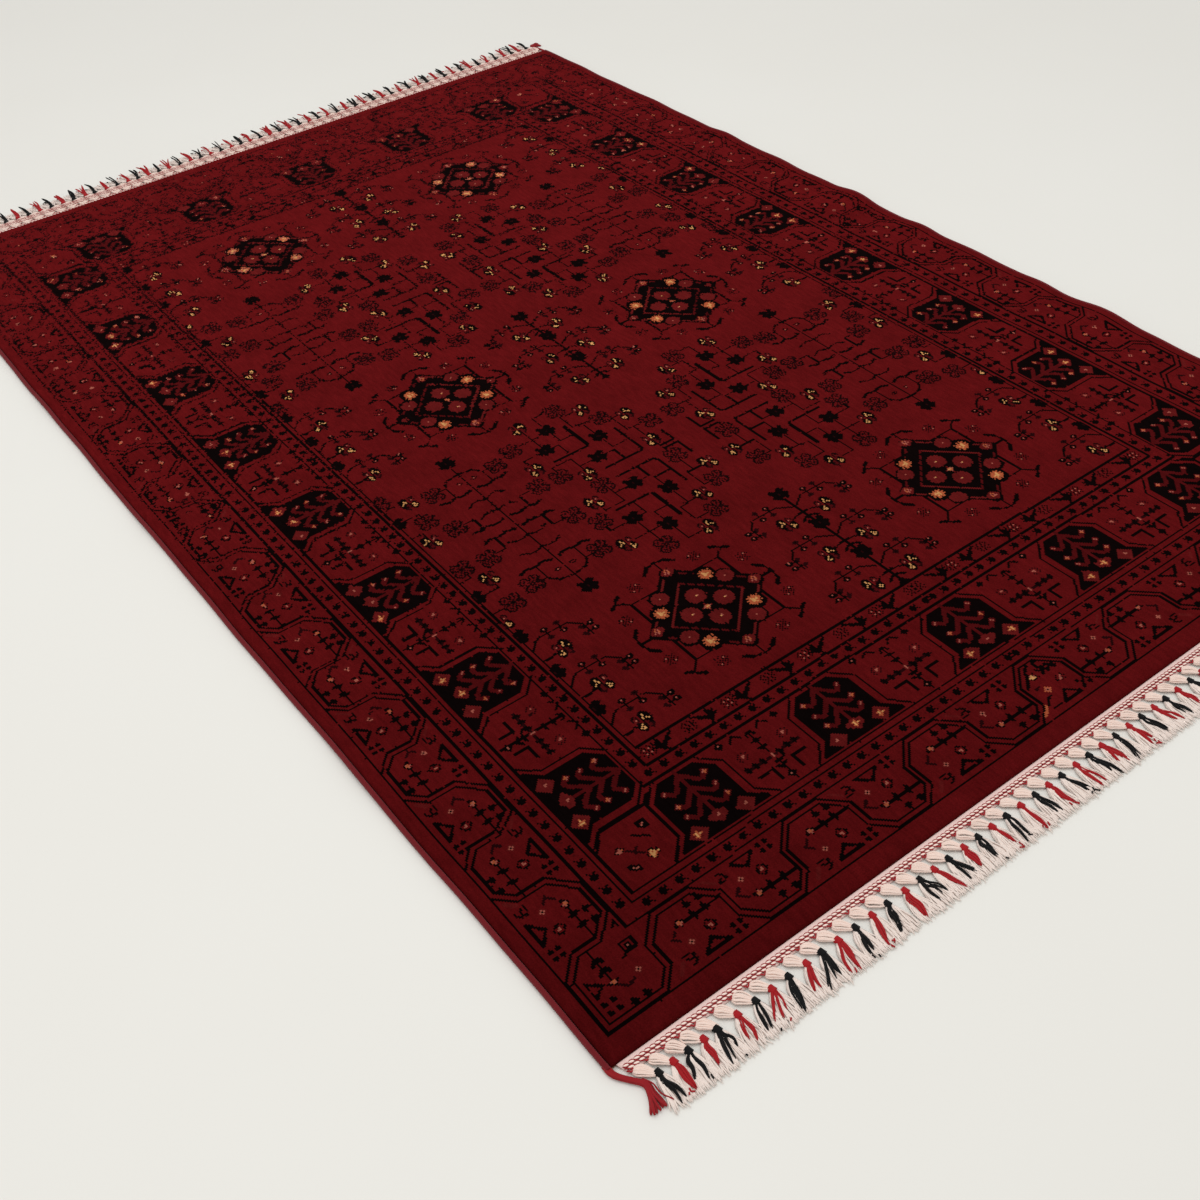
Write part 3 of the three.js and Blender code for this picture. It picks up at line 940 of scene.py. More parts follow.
def new_group(name, inputs, outputs):
    group = bpy.data.node_groups.new(name, "ShaderNodeTree")
    for title, kind, value in inputs:
        socket = group.interface.new_socket(title, in_out="INPUT", socket_type=kind)
        socket.default_value = value
    for title, kind in outputs:
        group.interface.new_socket(title, in_out="OUTPUT", socket_type=kind)
    return group, group.nodes.new("NodeGroupInput"), group.nodes.new("NodeGroupOutput")


def screen_colour(red, green, blue):
    linear = [c / 12.92 if c <= 0.04045 else ((c + 0.055) / 1.055) ** 2.4
              for c in (red / 255, green / 255, blue / 255)]
    return (*linear, 1)


# Reads a face's knots back into yarn numbers; Stray bends the rows where tufts lean on each other.
yarn_reader, reader_in, reader_out = new_group(
    "yarn_reader",
    [("Stray", "NodeSocketFloat", 0.35), ("Stray Scale", "NodeSocketFloat", 900.0)],
    [("Yarn", "NodeSocketFloat")],
)
tree = yarn_reader
where = node(tree, "ShaderNodeTexCoord").outputs["Object"]
stray = node(tree, "ShaderNodeTexNoise", {"noise_dimensions": "3D"}, Vector=where,
             Scale=reader_in.outputs["Stray Scale"], Detail=1.0, Roughness=0.6)
centred = node(tree, "ShaderNodeVectorMath", {"operation": "SUBTRACT"},
               i0=stray.outputs["Color"], i1=(0.5, 0.5, 0.5))
strayed = node(tree, "ShaderNodeVectorMath", {"operation": "SCALE"},
               i0=centred.outputs[0], Scale=reader_in.outputs["Stray"])
knot_place = node(tree, "ShaderNodeUVMap", {"uv_map": "knots"}).outputs["UV"]
moved_place = node(tree, "ShaderNodeVectorMath", {"operation": "ADD"}, i0=knot_place,
                   i1=strayed.outputs[0])
place_parts = node(tree, "ShaderNodeSeparateXYZ", i0=moved_place.outputs[0])
column = sum_of(tree, "FLOOR", sum_of(tree, "ADD", place_parts.outputs["X"], 1.0))
column = sum_of(tree, "MINIMUM", sum_of(tree, "MAXIMUM", column, 0.0), FACE_COLUMNS + 1.0)
row = sum_of(tree, "FLOOR", sum_of(tree, "ADD", place_parts.outputs["Y"], 1.0))
row = sum_of(tree, "MINIMUM", sum_of(tree, "MAXIMUM", row, 0.0), FACE_ROWS + 1.0)
pair = sum_of(tree, "FLOOR", sum_of(tree, "DIVIDE", row, 2.0))
odd = sum_of(tree, "SUBTRACT", row, sum_of(tree, "MULTIPLY", pair, 2.0))
digit_place = sum_of(tree, "POWER", 2.0, sum_of(tree, "MULTIPLY_ADD", odd, ROW_DIGITS, column))
chosen = node(
    tree, "ShaderNodeCombineXYZ",
    X=sum_of(tree, "LESS_THAN", pair, 0.5),
    Y=sum_of(tree, "COMPARE", pair, 1.0, 0.5),
    Z=sum_of(tree, "GREATER_THAN", pair, 1.5),
).outputs[0]
yarn_number = 0.0
for value, title in ((1.0, "knots_ones"), (2.0, "knots_twos"), (4.0, "knots_fours")):
    stored = node(tree, "ShaderNodeAttribute", {"attribute_name": title}).outputs["Vector"]
    word = node(tree, "ShaderNodeVectorMath", {"operation": "DOT_PRODUCT"}, i0=stored, i1=chosen)
    shifted = sum_of(tree, "DIVIDE", sum_of(tree, "ADD", word.outputs["Value"], 0.5), digit_place)
    digit = sum_of(tree, "GREATER_THAN", sum_of(tree, "MODULO", shifted, 2.0), 1.0)
    yarn_number = sum_of(tree, "MULTIPLY_ADD", digit, value, yarn_number)
tree.links.new(yarn_number, reader_out.inputs["Yarn"])

# How much the tufts' tips waver about their knots, and how much the knots waver on the back.
PILE_STRAY, BACK_STRAY = 0.35, 0.1
# The yarns' colours, in the order of their numbers.
YARN_COLOURS = [
    ("ground", screen_colour(96, 17, 19)),
    ("black", screen_colour(13, 6, 6)),
    ("brown line", screen_colour(38, 9, 11)),
    ("rose", screen_colour(98, 24, 24)),
    ("orange", screen_colour(174, 86, 54)),
    ("cream", screen_colour(206, 148, 92)),
    ("pink", screen_colour(164, 88, 74)),
    ("madder", screen_colour(80, 15, 17)),
]


def new_material(name):
    material = bpy.data.materials.new(name)
    material.use_nodes = True
    return material, material.node_tree, material.node_tree.nodes["Principled BSDF"]


def woven_yarns(tree, stray):
    # The colour of the yarn at each knot, picked by its number from a ramp in equal steps.
    reader = node(tree, "ShaderNodeGroup", {"node_tree": yarn_reader}, Stray=stray)
    count = len(YARN_COLOURS)
    share = sum_of(tree, "DIVIDE", sum_of(tree, "ADD", reader.outputs["Yarn"], 0.5), count)
    ramp = node(tree, "ShaderNodeValToRGB", i0=share)
    ramp.color_ramp.interpolation = "CONSTANT"
    stops = ramp.color_ramp.elements
    for step, (_, colour) in enumerate(YARN_COLOURS):
        stop = stops[0] if step == 0 else stops.new(step / count)
        stop.position, stop.color = step / count, colour
    stops[-1].position, stops[-1].color = 1.0, YARN_COLOURS[-1][1]
    return ramp.outputs["Color"]


def set_finish(shader, roughness, specular, sheen=0.0):
    shader.inputs["Roughness"].default_value = roughness
    shader.inputs["Specular IOR Level"].default_value = specular
    shader.inputs["Sheen Weight"].default_value = sheen
    shader.inputs["Sheen Roughness"].default_value = 0.5


# Noise cells to the metre: the tufts, clouds of lighter pile, and streaks along the rug. Then the painted
# sheen: how light the pile's colour is painted from straight above, and how much lighter towards a level
# view.
TUFT_SCALE, CLOUD_SCALE, STREAK_SCALES = 520.0, 14.0, (190.0, 40.0, 1.0)
PAINTED_SHEEN_FROM_ABOVE, PAINTED_SHEEN_GAIN = 0.32, 1.17
cut_pile, tree, shader = new_material("cut_pile")
yarns = woven_yarns(tree, PILE_STRAY)
where = node(tree, "ShaderNodeTexCoord").outputs["Object"]
tufts = node(tree, "ShaderNodeTexNoise", Vector=where, Scale=TUFT_SCALE, Detail=3.0, Roughness=0.65)
clouds = node(tree, "ShaderNodeTexNoise", Vector=where, Scale=CLOUD_SCALE, Detail=4.0, Roughness=0.6)
streaked = node(tree, "ShaderNodeVectorMath", {"operation": "MULTIPLY"}, i0=where, i1=STREAK_SCALES)
streaks = node(tree, "ShaderNodeTexNoise", Vector=streaked.outputs[0], Scale=1.0, Detail=2.0)
# Tufts, clouds and streaks each lighten and darken the yarn's own colour.
shade = sum_of(tree, "MULTIPLY_ADD", tufts.outputs[0], 1.2, 0.40)
shade = sum_of(tree, "MULTIPLY", shade, sum_of(tree, "MULTIPLY_ADD", clouds.outputs[0], 0.6, 0.70))
shade = sum_of(tree, "MULTIPLY", shade, sum_of(tree, "MULTIPLY_ADD", streaks.outputs[0], 0.7, 0.65))
# Painted sheen: the yarn's colour is made lighter the more level the view, measured from straight up so
# slopes don't change it.
painted_sheen_axis = node(tree, "ShaderNodeCombineXYZ", Z=1.0)
facing = node(tree, "ShaderNodeLayerWeight", Blend=0.5, Normal=painted_sheen_axis.outputs[0]).outputs["Facing"]
painted_sheen_factor = sum_of(tree, "MULTIPLY_ADD", facing, PAINTED_SHEEN_GAIN, PAINTED_SHEEN_FROM_ABOVE)
shade = sum_of(tree, "MULTIPLY", shade, painted_sheen_factor)
tint = node(tree, "ShaderNodeVectorMath", {"operation": "SCALE"}, i0=yarns, Scale=shade)
tree.links.new(tint.outputs[0], shader.inputs["Base Color"])
bump = node(tree, "ShaderNodeBump", Strength=0.6, Distance=0.0012, Height=tufts.outputs[0])
tree.links.new(bump.outputs[0], shader.inputs["Normal"])
set_finish(shader, 0.95, 0.0, 0.004)
pile.data.materials.append(cut_pile)
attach(pile, "root")
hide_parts("pile_cloth")


# The woven back: wefts of jute and cotton that hold the tufts, with the pattern showing faintly. It
# can't be seen while the rug lies on the floor, so it is made as such backs commonly are.
back = cloth_slab("woven_back", 0.0002, BACK_THICKNESS, "lower")
woven_back, tree, shader = new_material("woven_back")
yarns = woven_yarns(tree, BACK_STRAY)
where = node(tree, "ShaderNodeTexCoord").outputs["Object"]
wefts = node(tree, "ShaderNodeTexWave", {"bands_direction": "Y"}, Vector=where, Scale=63.0, Distortion=0.6,
             Detail=2.0)
faded = node(tree, "ShaderNodeMix", {"data_type": "RGBA"},
             Factor=sum_of(tree, "MULTIPLY_ADD", wefts.outputs["Fac"], 0.35, 0.45),
             i6=yarns, i7=screen_colour(150, 118, 88))
tree.links.new(faded.outputs[2], shader.inputs["Base Color"])
bump = node(tree, "ShaderNodeBump", Strength=0.7, Distance=0.001, Height=wefts.outputs["Fac"])
tree.links.new(bump.outputs[0], shader.inputs["Normal"])
set_finish(shader, 0.9, 0.2)
back.data.materials.append(woven_back)
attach(back, "root")


# The side cords: a core along each long edge, overcast all the way with red yarn. Each turn of the
# yarn stands up as a small slanted ridge.
CORD_GAP, CORD_WIDTH, CORD_HEIGHT = 0.0003, 0.0072, 0.0090
CORD_SIDES = 8
WRAP_PITCH, WRAP_RIDGE, WRAP_SLANT = 0.0026, 0.09, 0.0032


def tube(points, widths, heights=None, sides=6):
    # A closed skin of quads round a line of points; widths lie level, heights stand across them.
    points = np.asarray(points, float)
    widths = np.broadcast_to(np.asarray(widths, float), len(points))
    heights = widths if heights is None else np.broadcast_to(np.asarray(heights, float), len(points))
    ahead = np.gradient(points, axis=0)
    ahead /= np.linalg.norm(ahead, axis=1)[:, None] + 1e-12
    level = np.cross(ahead, (0.0, 0.0, 1.0))
    level /= np.linalg.norm(level, axis=1)[:, None] + 1e-12
    over = np.cross(level, ahead)
    turns = np.arange(sides) * 2 * np.pi / sides
    rings = (
        points[:, None]
        + level[:, None] * (np.cos(turns)[:, None] * widths[:, None, None] / 2)
        + over[:, None] * (np.sin(turns)[:, None] * heights[:, None, None] / 2)
    )
    first = np.arange((len(points) - 1) * sides).reshape(-1, sides)
    after = np.roll(first, -1, axis=1)
    faces = np.stack([first, after, after + sides, first + sides], -1).reshape(-1, 4).tolist()
    faces.append(list(range(sides))[::-1])
    faces.append([(len(points) - 1) * sides + k for k in range(sides)])
    return rings.reshape(-1, 3), faces


def join_parts(name, parts, material, turned=False):
    # One piece of many small parts; turned puts a piece made for the near end at the far end.
    vertices, faces, count = [], [], 0
    for points, part_faces in parts:
        vertices.append(points)
        faces += [[corner + count for corner in face] for face in part_faces]
        count += len(points)
    vertices = np.concatenate(vertices)
    if turned:
        vertices = vertices * (-1, -1, 1)
    mesh = bpy.data.meshes.new(name)
    mesh.from_pydata(vertices.tolist(), [], faces)
    mesh.polygons.foreach_set("use_smooth", np.ones(len(faces), bool))
    mesh.materials.append(material)
    piece = bpy.data.objects.new(name, mesh)
    bpy.context.collection.objects.link(piece)
    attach(piece, "root")
    return piece


def cord_middle(side, y):
    edge = side * HALF_WIDTH * np.ones_like(y)
    x = side * (HALF_WIDTH + CORD_GAP + CORD_WIDTH / 2) + cloth_sway(edge, y)
    z = cloth_lift(edge, y) + CORD_HEIGHT / 2
    return x, z


# Fibres of a spun yarn: a shade that changes over a millimetre or less and over several, and a
# height that follows the finest fibres.
yarn_fibres, fibres_in, fibres_out = new_group(
    "yarn_fibres",
    [("Scale", "NodeSocketFloat", 1400.0), ("Depth", "NodeSocketFloat", 0.5)],
    [("Shade", "NodeSocketFloat"), ("Height", "NodeSocketFloat")],
)
tree = yarn_fibres
where = node(tree, "ShaderNodeTexCoord").outputs["Object"]
fibres = node(tree, "ShaderNodeTexNoise", Vector=where, Scale=fibres_in.outputs["Scale"], Detail=2.0,
              Roughness=0.7)
patches = node(tree, "ShaderNodeTexNoise", Vector=where, Scale=160.0, Detail=2.0)
both = sum_of(tree, "ADD", sum_of(tree, "MULTIPLY", fibres.outputs[0], 0.7),
              sum_of(tree, "MULTIPLY", patches.outputs[0], 0.3))
low_shade = sum_of(tree, "SUBTRACT", 1.0, sum_of(tree, "MULTIPLY", fibres_in.outputs["Depth"], 0.5))
tree.links.new(sum_of(tree, "MULTIPLY_ADD", both, fibres_in.outputs["Depth"], low_shade),
               fibres_out.inputs["Shade"])
tree.links.new(fibres.outputs[0], fibres_out.inputs["Height"])


def yarn_material(name, colour, depth, sheen):
    material, tree, shader = new_material(name)
    fibre = node(tree, "ShaderNodeGroup", {"node_tree": yarn_fibres}, Depth=depth)
    dye = node(tree, "ShaderNodeVectorMath", {"operation": "SCALE"}, i0=colour[:3],
               Scale=fibre.outputs["Shade"])
    tree.links.new(dye.outputs[0], shader.inputs["Base Color"])
    bump = node(tree, "ShaderNodeBump", Strength=0.5, Distance=0.0004, Height=fibre.outputs["Height"])
    tree.links.new(bump.outputs[0], shader.inputs["Normal"])
    set_finish(shader, 0.85, 0.2, sheen)
    return material


overcast_red = yarn_material("overcast_red", screen_colour(108, 20, 26), 0.7, 0.08)
for side, title in ((-1, "left"), (1, "right")):
    wraps = int(PILE_LENGTH / WRAP_PITCH)
    y = np.linspace(-HALF_LENGTH, HALF_LENGTH, 2 * wraps + 1)
    x, z = cord_middle(side, y)
    ridge = 1 + WRAP_RIDGE * np.where(np.arange(len(y)) % 2 == 1, 1.0, -1.0)
    points, faces = tube(np.stack([x, y, z], -1), CORD_WIDTH * ridge, CORD_HEIGHT * ridge, CORD_SIDES)
    below_middle = np.repeat(z, CORD_SIDES) - points[:, 2]
    points[:, 1] += below_middle / CORD_HEIGHT * WRAP_SLANT
    points[:, 2] = np.maximum(points[:, 2], 0.0)
    cord = join_parts("side_cord_" + title + "_overcast", [(points, faces)], overcast_red)
    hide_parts("side_cord_" + title)


# Loose ends of the side cords: at each corner the cord's yarns come out of the wrapping, bend in
# under the fringe or straight past it, and open into a small brush of thick strands.
TAIL_ROOT = [(0, -0.006), (0.0003, 0.005), (0.004, 0.014), (0.012, 0.025), (0.021, 0.038)]
# Side, end of the rug, share of the root's way in, stretch of its way out, turn of its brush in
# degrees, length of the brush.
TAILS = [
    (-1, -1, 1.0, 1.0, 11, 0.034),
    (1, -1, 0.1, 1.0, 14, 0.037),
    (1, 1, 0.3, 1.35, 84, 0.025),
    (-1, 1, 0.1, 1.0, 16, 0.037),
]
TAIL_STRANDS, TAIL_STRAND, TAIL_GATHER, TAIL_FAN = 7, 0.0033, 0.0060, 34
TAIL_STEPS = 26
# How thick a strand is along its length, as a share.
TAIL_PLACES, TAIL_SHARES = (0, 0.6, 0.95, 1), (0.85, 1, 1.1, 0.6)
tail_random = np.random.default_rng(3)


def smooth_line(points, count):
    # A line through the given points, evenly cut, that bends softly at each.
    points = np.asarray(points, float)
    share = np.linspace(0, len(points) - 1, count)
    ends = np.concatenate([[2 * points[0] - points[1]], points, [2 * points[-1] - points[-2]]])
    left = np.minimum(share.astype(int), len(points) - 2)
    t = (share - left)[:, None]
    a, b, c, d = (ends[left + k] for k in range(4))
    bend = (2 * a - 5 * b + 4 * c - d) * t ** 2
    twist = (3 * b - a - 3 * c + d) * t ** 3
    return 0.5 * (2 * b + (c - a) * t + bend + twist)


tail_parts = {-1: [], 1: []}
for side, end, bend, stretch, turn, length in TAILS:
    start_x = float(cord_middle(side, np.array([end * HALF_LENGTH]))[0][0])
    root = np.array([
        (start_x - side * inward * bend, end * (HALF_LENGTH + out * (stretch if out > 0 else 1)))
        for inward, out in TAIL_ROOT
    ])
    waist = root[-1]
    across = np.array([side * math.cos(math.radians(turn)), -end * math.sin(math.radians(turn))])
    for strand in range(TAIL_STRANDS):
        share = strand / (TAIL_STRANDS - 1) - 0.5
        angle = math.radians(turn + TAIL_FAN * share + tail_random.normal(0, 2))
        reach = length * tail_random.uniform(0.88, 1.04)
        tip = waist + reach * np.array([side * math.sin(angle), end * math.cos(angle)])
        bow = tail_random.normal(0, 0.0010, 2)
        line = [*root, waist + (tip - waist) * 0.35 + bow, waist + (tip - waist) * 0.7 + bow, tip]
        level = 0.0020 * (strand % 2)
        spots = []
        for place, point in enumerate(line):
            past_root = place - len(TAIL_ROOT)
            gather = TAIL_GATHER * share if past_root < 0 else TAIL_GATHER * share * 0.5
            height = 0.0036 if past_root < 0 else 0.0030 - 0.0004 * past_root
            spots.append((*(point + across * gather), height + level))
        width = TAIL_STRAND * np.interp(np.linspace(0, 1, TAIL_STEPS), TAIL_PLACES, TAIL_SHARES)
        tail_parts[side].append(tube(smooth_line(spots, TAIL_STEPS), width, sides=7))
# One thin yarn of the first brush curls away under the nearest tassel.
curl = [(-0.7715, -1.2060, 0.0060), (-0.7665, -1.2180, 0.0070), (-0.7660, -1.2310, 0.0050),
        (-0.7590, -1.2440, 0.0035)]
tail_parts[-1].append(tube(smooth_line(curl, 16), 0.0019, sides=6))
tail_red = yarn_material("tail_red", screen_colour(142, 24, 30), 0.7, 0.06)
for side, title in ((-1, "left"), (1, "right")):
    join_parts("cord_tails_" + title, tail_parts[side], tail_red)


# The heading tape: a folded cotton tape sewn to each end of the pile. Two rows of cream chain
# stitch run along it, each between two red threads that cross at every stitch.
TAPE_DEPTH, TAPE_THICKNESS, TAPE_REACH, TAPE_SLANT = 0.016, 0.0030, 0.783, 0.0065
STITCH_PITCH, STITCH_ROWS, STITCH_SWING = 0.0072, (0.0078, 0.0124), 0.0021
STITCH_WIDTH, STITCH_HEIGHT, STITCH_LEAN = 0.0032, 0.0044, 0.0007
THREAD_WIDTH, THREAD_RISE = 0.0015, 0.0006
# Where the first stitch and the red threads start, from the tape's end.
FIRST_STITCH, THREAD_START = 0.008, 0.004
TAPE_STEPS = 400
ENDS = (("near", False), ("far", True))
# The tape's section: out from the pile, height above the floor.
TAPE_SECTION = [
    (0.0003, 0.0002), (0.0158, 0.0002), (0.0163, 0.0012), (0.0158, 0.0026), (0.0130, 0.0030),
    (0.0050, 0.0040), (0.0012, 0.0048), (0.0003, 0.0040),
]


def across_end(x, out, z):
    # A point of the near end: across the rug, out from the pile's end, above the floor.
    return np.stack(np.broadcast_arrays(x, -(HALF_LENGTH + np.asarray(out)), z), -1).astype(float)


cotton_tape = yarn_material("cotton_tape", screen_colour(234, 203, 196), 0.25, 0.1)
cotton_stitch = yarn_material("cotton_stitch", screen_colour(244, 224, 212), 0.25, 0.1)
stitch_red = yarn_material("stitch_red", screen_colour(158, 42, 46), 0.4, 0.05)
for title, turned in ENDS:
    rings = []
    for out, z in TAPE_SECTION:
        start = -TAPE_REACH + TAPE_SLANT * out / TAPE_DEPTH
        rings.append(across_end(np.linspace(start, TAPE_REACH, TAPE_STEPS + 1), out, z))
    rings = np.stack(rings, 1)
    size = len(TAPE_SECTION)
    first = np.arange(TAPE_STEPS * size).reshape(TAPE_STEPS, size)
    after = np.roll(first, -1, axis=1)
    faces = np.stack([first, first + size, after + size, after], -1).reshape(-1, 4).tolist()
    faces += [list(range(size)), [TAPE_STEPS * size + k for k in range(size)][::-1]]
    tape = join_parts("heading_tape_" + title, [(rings.reshape(-1, 3), faces)], cotton_tape,
                      turned)
    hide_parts("fringe_" + title)
    grains, threads = [], []
    stitch_random = np.random.default_rng(11)
    stitches = int(2 * TAPE_REACH / STITCH_PITCH) - 1
    for row, out in enumerate(STITCH_ROWS):
        for stitch in range(stitches):
            middle = -TAPE_REACH + FIRST_STITCH + (stitch + 0.5 * row) * STITCH_PITCH
            lean = STITCH_LEAN + stitch_random.normal(0, 0.0001)
            share = np.linspace(-1, 1, 6)
            line = across_end(middle + share * STITCH_PITCH * 0.5, out + share * lean, STITCH_HEIGHT)
            width = STITCH_WIDTH * np.sqrt(np.clip(1.06 - share ** 2, 0, 1))
            grains.append(tube(line, width, width * 0.75, 6))
        x = np.arange(-TAPE_REACH + THREAD_START, TAPE_REACH - 0.001, STITCH_PITCH / 4)
        phase = (x + TAPE_REACH - THREAD_START - 0.5 * row * STITCH_PITCH) / STITCH_PITCH * np.pi
        for way in (-1, 1):
            swing = STITCH_SWING * np.sin(phase) * way
            height = STITCH_HEIGHT + THREAD_RISE * np.cos(phase) * way
            threads.append(tube(across_end(x, out + swing, height), THREAD_WIDTH, sides=4))
    join_parts("chain_stitch_" + title, grains, cotton_stitch, turned)
    join_parts("stitch_thread_" + title, threads, stitch_red, turned)


# The looped heading: the fringe's cotton leaves the tape in leaf-shaped bundles of cords. Each slants
# across to its own yarn tie, and a red stitch dips into the corner between two of them. The far end's
# loops are longer, wider and higher.
TASSELS, TASSEL_PITCH, FIRST_KNOT = 61, 0.0254, -0.771
# The first ties of each end sit this much further in.
PULLS = {"near": (0.016, 0.012, 0.008, 0.003), "far": (0.008, 0.004, 0.002, 0.0)}
LOOP_CORDS = {"near": 8, "far": 11}
LOOP_CORD, LOOP_STRAY, LOOP_STEPS = 0.0026, 0.0006, 11
LOOP_SPREAD = {"near": 0.0064, "far": 0.0124}
LOOP_CROWN = {"near": 0.0026, "far": 0.0013}
# A loop's cords lie side by side on a slant: shares of the spread across and towards the pile.
SLANT_ACROSS, SLANT_IN = 0.72, 0.70
# One loop, by end: across from its tie, out from the pile, height, share of the full spread.
LOOPS = {
    "near": [
        (-0.0172, 0.0168, 0.0030, 0.45), (-0.0142, 0.0196, 0.0042, 0.95), (-0.0100, 0.0232, 0.0048, 1.0),
        (-0.0052, 0.0288, 0.0044, 0.76), (-0.0005, 0.0350, 0.0038, 0.36),
    ],
    "far": [
        (-0.0190, 0.0145, 0.0036, 0.70), (-0.0160, 0.0185, 0.0054, 0.95), (-0.0112, 0.0245, 0.0066, 1.0),
        (-0.0055, 0.0315, 0.0070, 0.85), (-0.0005, 0.0385, 0.0068, 0.50),
    ],
}
# The red stitch above a loop and the thread along its upper side: across, out and height, like a loop.
CORNER_STITCH = [(-0.0225, 0.0142, 0.0046), (-0.0195, 0.0176, 0.0048), (-0.0165, 0.0150, 0.0056)]
LOOP_THREAD = [(-0.0160, 0.0150, 0.0048), (-0.0120, 0.0165, 0.0052), (-0.0075, 0.0195, 0.0042)]
# Three more rows of red thread lie over the far loops: out from the pile, height.
FAR_THREADS = ((0.0185, 0.0086), (0.0235, 0.0094), (0.0290, 0.0094))


def tie_place(title, tassel):
    pulls = PULLS[title]
    return FIRST_KNOT + tassel * TASSEL_PITCH + (pulls[tassel] if tassel < len(pulls) else 0)


fringe_cotton = yarn_material("fringe_cotton", screen_colour(238, 214, 202), 0.35, 0.12)
for title, turned in ENDS:
    loop_random = np.random.default_rng(21 if turned else 20)
    cords, reds = [], []
    for tassel in range(TASSELS):
        knot = tie_place(title, tassel) + loop_random.normal(0, 0.0006)
        for cord_number in range(LOOP_CORDS[title]):
            share = cord_number / (LOOP_CORDS[title] - 1) * 2 - 1
            stray = loop_random.normal(0, LOOP_STRAY, 2)
            crown = LOOP_CROWN[title] * (1 - share ** 2) + 0.0007 * (cord_number % 2)
            spots = []
            for place, (across, out, height, width) in enumerate(LOOPS[title]):
                side = share * LOOP_SPREAD[title] * width
                bent = stray * (place in (1, 2, 3))
                x = knot + across + side * SLANT_ACROSS + bent[0]
                spots.append(across_end(x, out - side * SLANT_IN + bent[1], height + crown * width))
            cords.append(tube(smooth_line(np.array(spots), LOOP_STEPS), LOOP_CORD, sides=6))
        across, out, height = np.transpose(CORNER_STITCH)
        corner = across_end(knot + across, out, height)
        reds.append(tube(smooth_line(corner, 6), 0.0023, sides=5))
        reach = loop_random.uniform(0.35, 0.9)
        across, out, height = np.transpose(LOOP_THREAD)
        along = across_end(knot + across * (1.02 - 0.02 * reach), out, height)
        reds.append(tube(smooth_line(along[: 2 + (reach > 0.6)], 7), 0.0009, sides=5))
    if turned:
        x = np.arange(-TAPE_REACH + 0.006, TAPE_REACH - 0.004, STITCH_PITCH / 3)
        for out, height in FAR_THREADS:
            wave = 0.0012 * np.sin(np.arange(len(x)) * np.pi / 1.5)
            reds.append(tube(across_end(x, out + wave, height), 0.0013, sides=4))
    join_parts("loops_" + title, cords, fringe_cotton, turned)
    join_parts("loop_stitches_" + title, reds, stitch_red, turned)


# Yarn ties and tassels: black or red yarn is wound round the cotton below each loop, and its own ends
# hang down in flat bundles on the tassel that the cotton opens into. Black and red take turns.
TIE_TOP = {"near": 0.0315, "far": 0.0358}
TIE_HEIGHT = {"near": 0.0040, "far": 0.0076}
TIE_LENGTH, TIE_WIDTH, TIE_DEPTH, TIE_TURNS = 0.0090, 0.0100, 0.0072, 5
# The wound yarn bulges at each turn, slants across the cotton and closes in at both ends.
TIE_BULGE, TIE_START, TIE_SLANT = 0.06, -0.0012, 0.0022
TIE_CLOSING = ((0, 0.06, 0.9, 1), (0.8, 1, 0.95, 0.75))
# How far the tie yarns' tips lean to the right along the near end: place across the rug, lean. All
# of the far end's lean to the left by about FAR_LEAN, and their tips stand up off the cotton.
NEAR_LEANS = [
    (-0.76, 0.004), (-0.74, -0.005), (-0.66, -0.008), (-0.57, -0.014), (-0.40, -0.012), (-0.37, 0.008),
    (-0.33, 0.011), (-0.29, 0.000), (-0.24, -0.003), (-0.12, 0.002), (-0.09, 0.010), (-0.05, 0.001),
    (0.01, 0.000), (0.05, 0.010), (0.10, 0.003), (0.40, 0.006),
]
FAR_LEAN, COTTON_LEAN = 0.0045, 0.35
KNOT_STRAY, LEAN_STRAY = 0.0010, 0.0020
# Where a hanging yarn's two bends are along it, and the share of its spread that it has there.
BEND_PLACES = (0.26, 0.62)
TIE_OPENINGS = {"near": (0.22, 0.62), "far": (0.04, 0.40)}
COTTON_OPENING = (0.42, 0.80)
# A tie's own ends: one of these numbers of bundles, how far apart they lie, what share of the tassel
# they reach down, and how many strands a lone bundle and one of several may have, the second excluded.
BUNDLES, BUNDLES_APART, TIE_REACH = [1, 2, 2, 3], (0.0050, 0.0100), (0.60, 0.93)
LONE_STRANDS, SHARED_STRANDS = (4, 7), (2, 4)
BUNDLE_STRAY, BUNDLE_WAVE, STRAND_WAVE, REACH_STRAY = 0.0022, 0.0011, 0.0003, 0.05
STRANDS_APART, STRAND_STEP = 0.0012, 0.0008
# How far apart the strands are at the two bends and the tip, as shares.
STRAND_FAN = (0.9, 1.0, 0.35)
TIE_TIP_HEIGHTS = {"near": (0.0058, 0.0038), "far": (0.0130, 0.0150)}
# Specks of tie yarn near the tassel's tip: one of these numbers, and how far from the tip they are.
SPECKS, SPECK_BACK, SPECK_WIDTH = [0, 0, 1, 2, 3], (0.004, 0.013), 0.0020
TASSEL_TIP, TASSEL_FAN = 0.0825, 0.0146
TASSEL_LOCKS, TASSEL_YARNS = 7, 27
# How wide a strand of a tie, a lock and a yarn of the tassel are from the tie to the tip.
STRAND_WIDTHS = ((0, 0.5, 0.93, 1), (0.0021, 0.0024, 0.0022, 0.0012))
LOCK_WIDTHS = ((0, 0.3, 0.9, 1), (0.0034, 0.0060, 0.0064, 0.0030))
YARN_WIDTHS = ((0, 0.85, 1), (0.0018, 0.0021, 0.0009))
tie_black = yarn_material("tie_black", screen_colour(11, 11, 12), 0.6, 0.03)
tie_red = yarn_material("tie_red", screen_colour(160, 24, 30), 0.6, 0.05)
tassel_cotton = yarn_material("tassel_cotton", screen_colour(237, 222, 213), 0.4, 0.15)


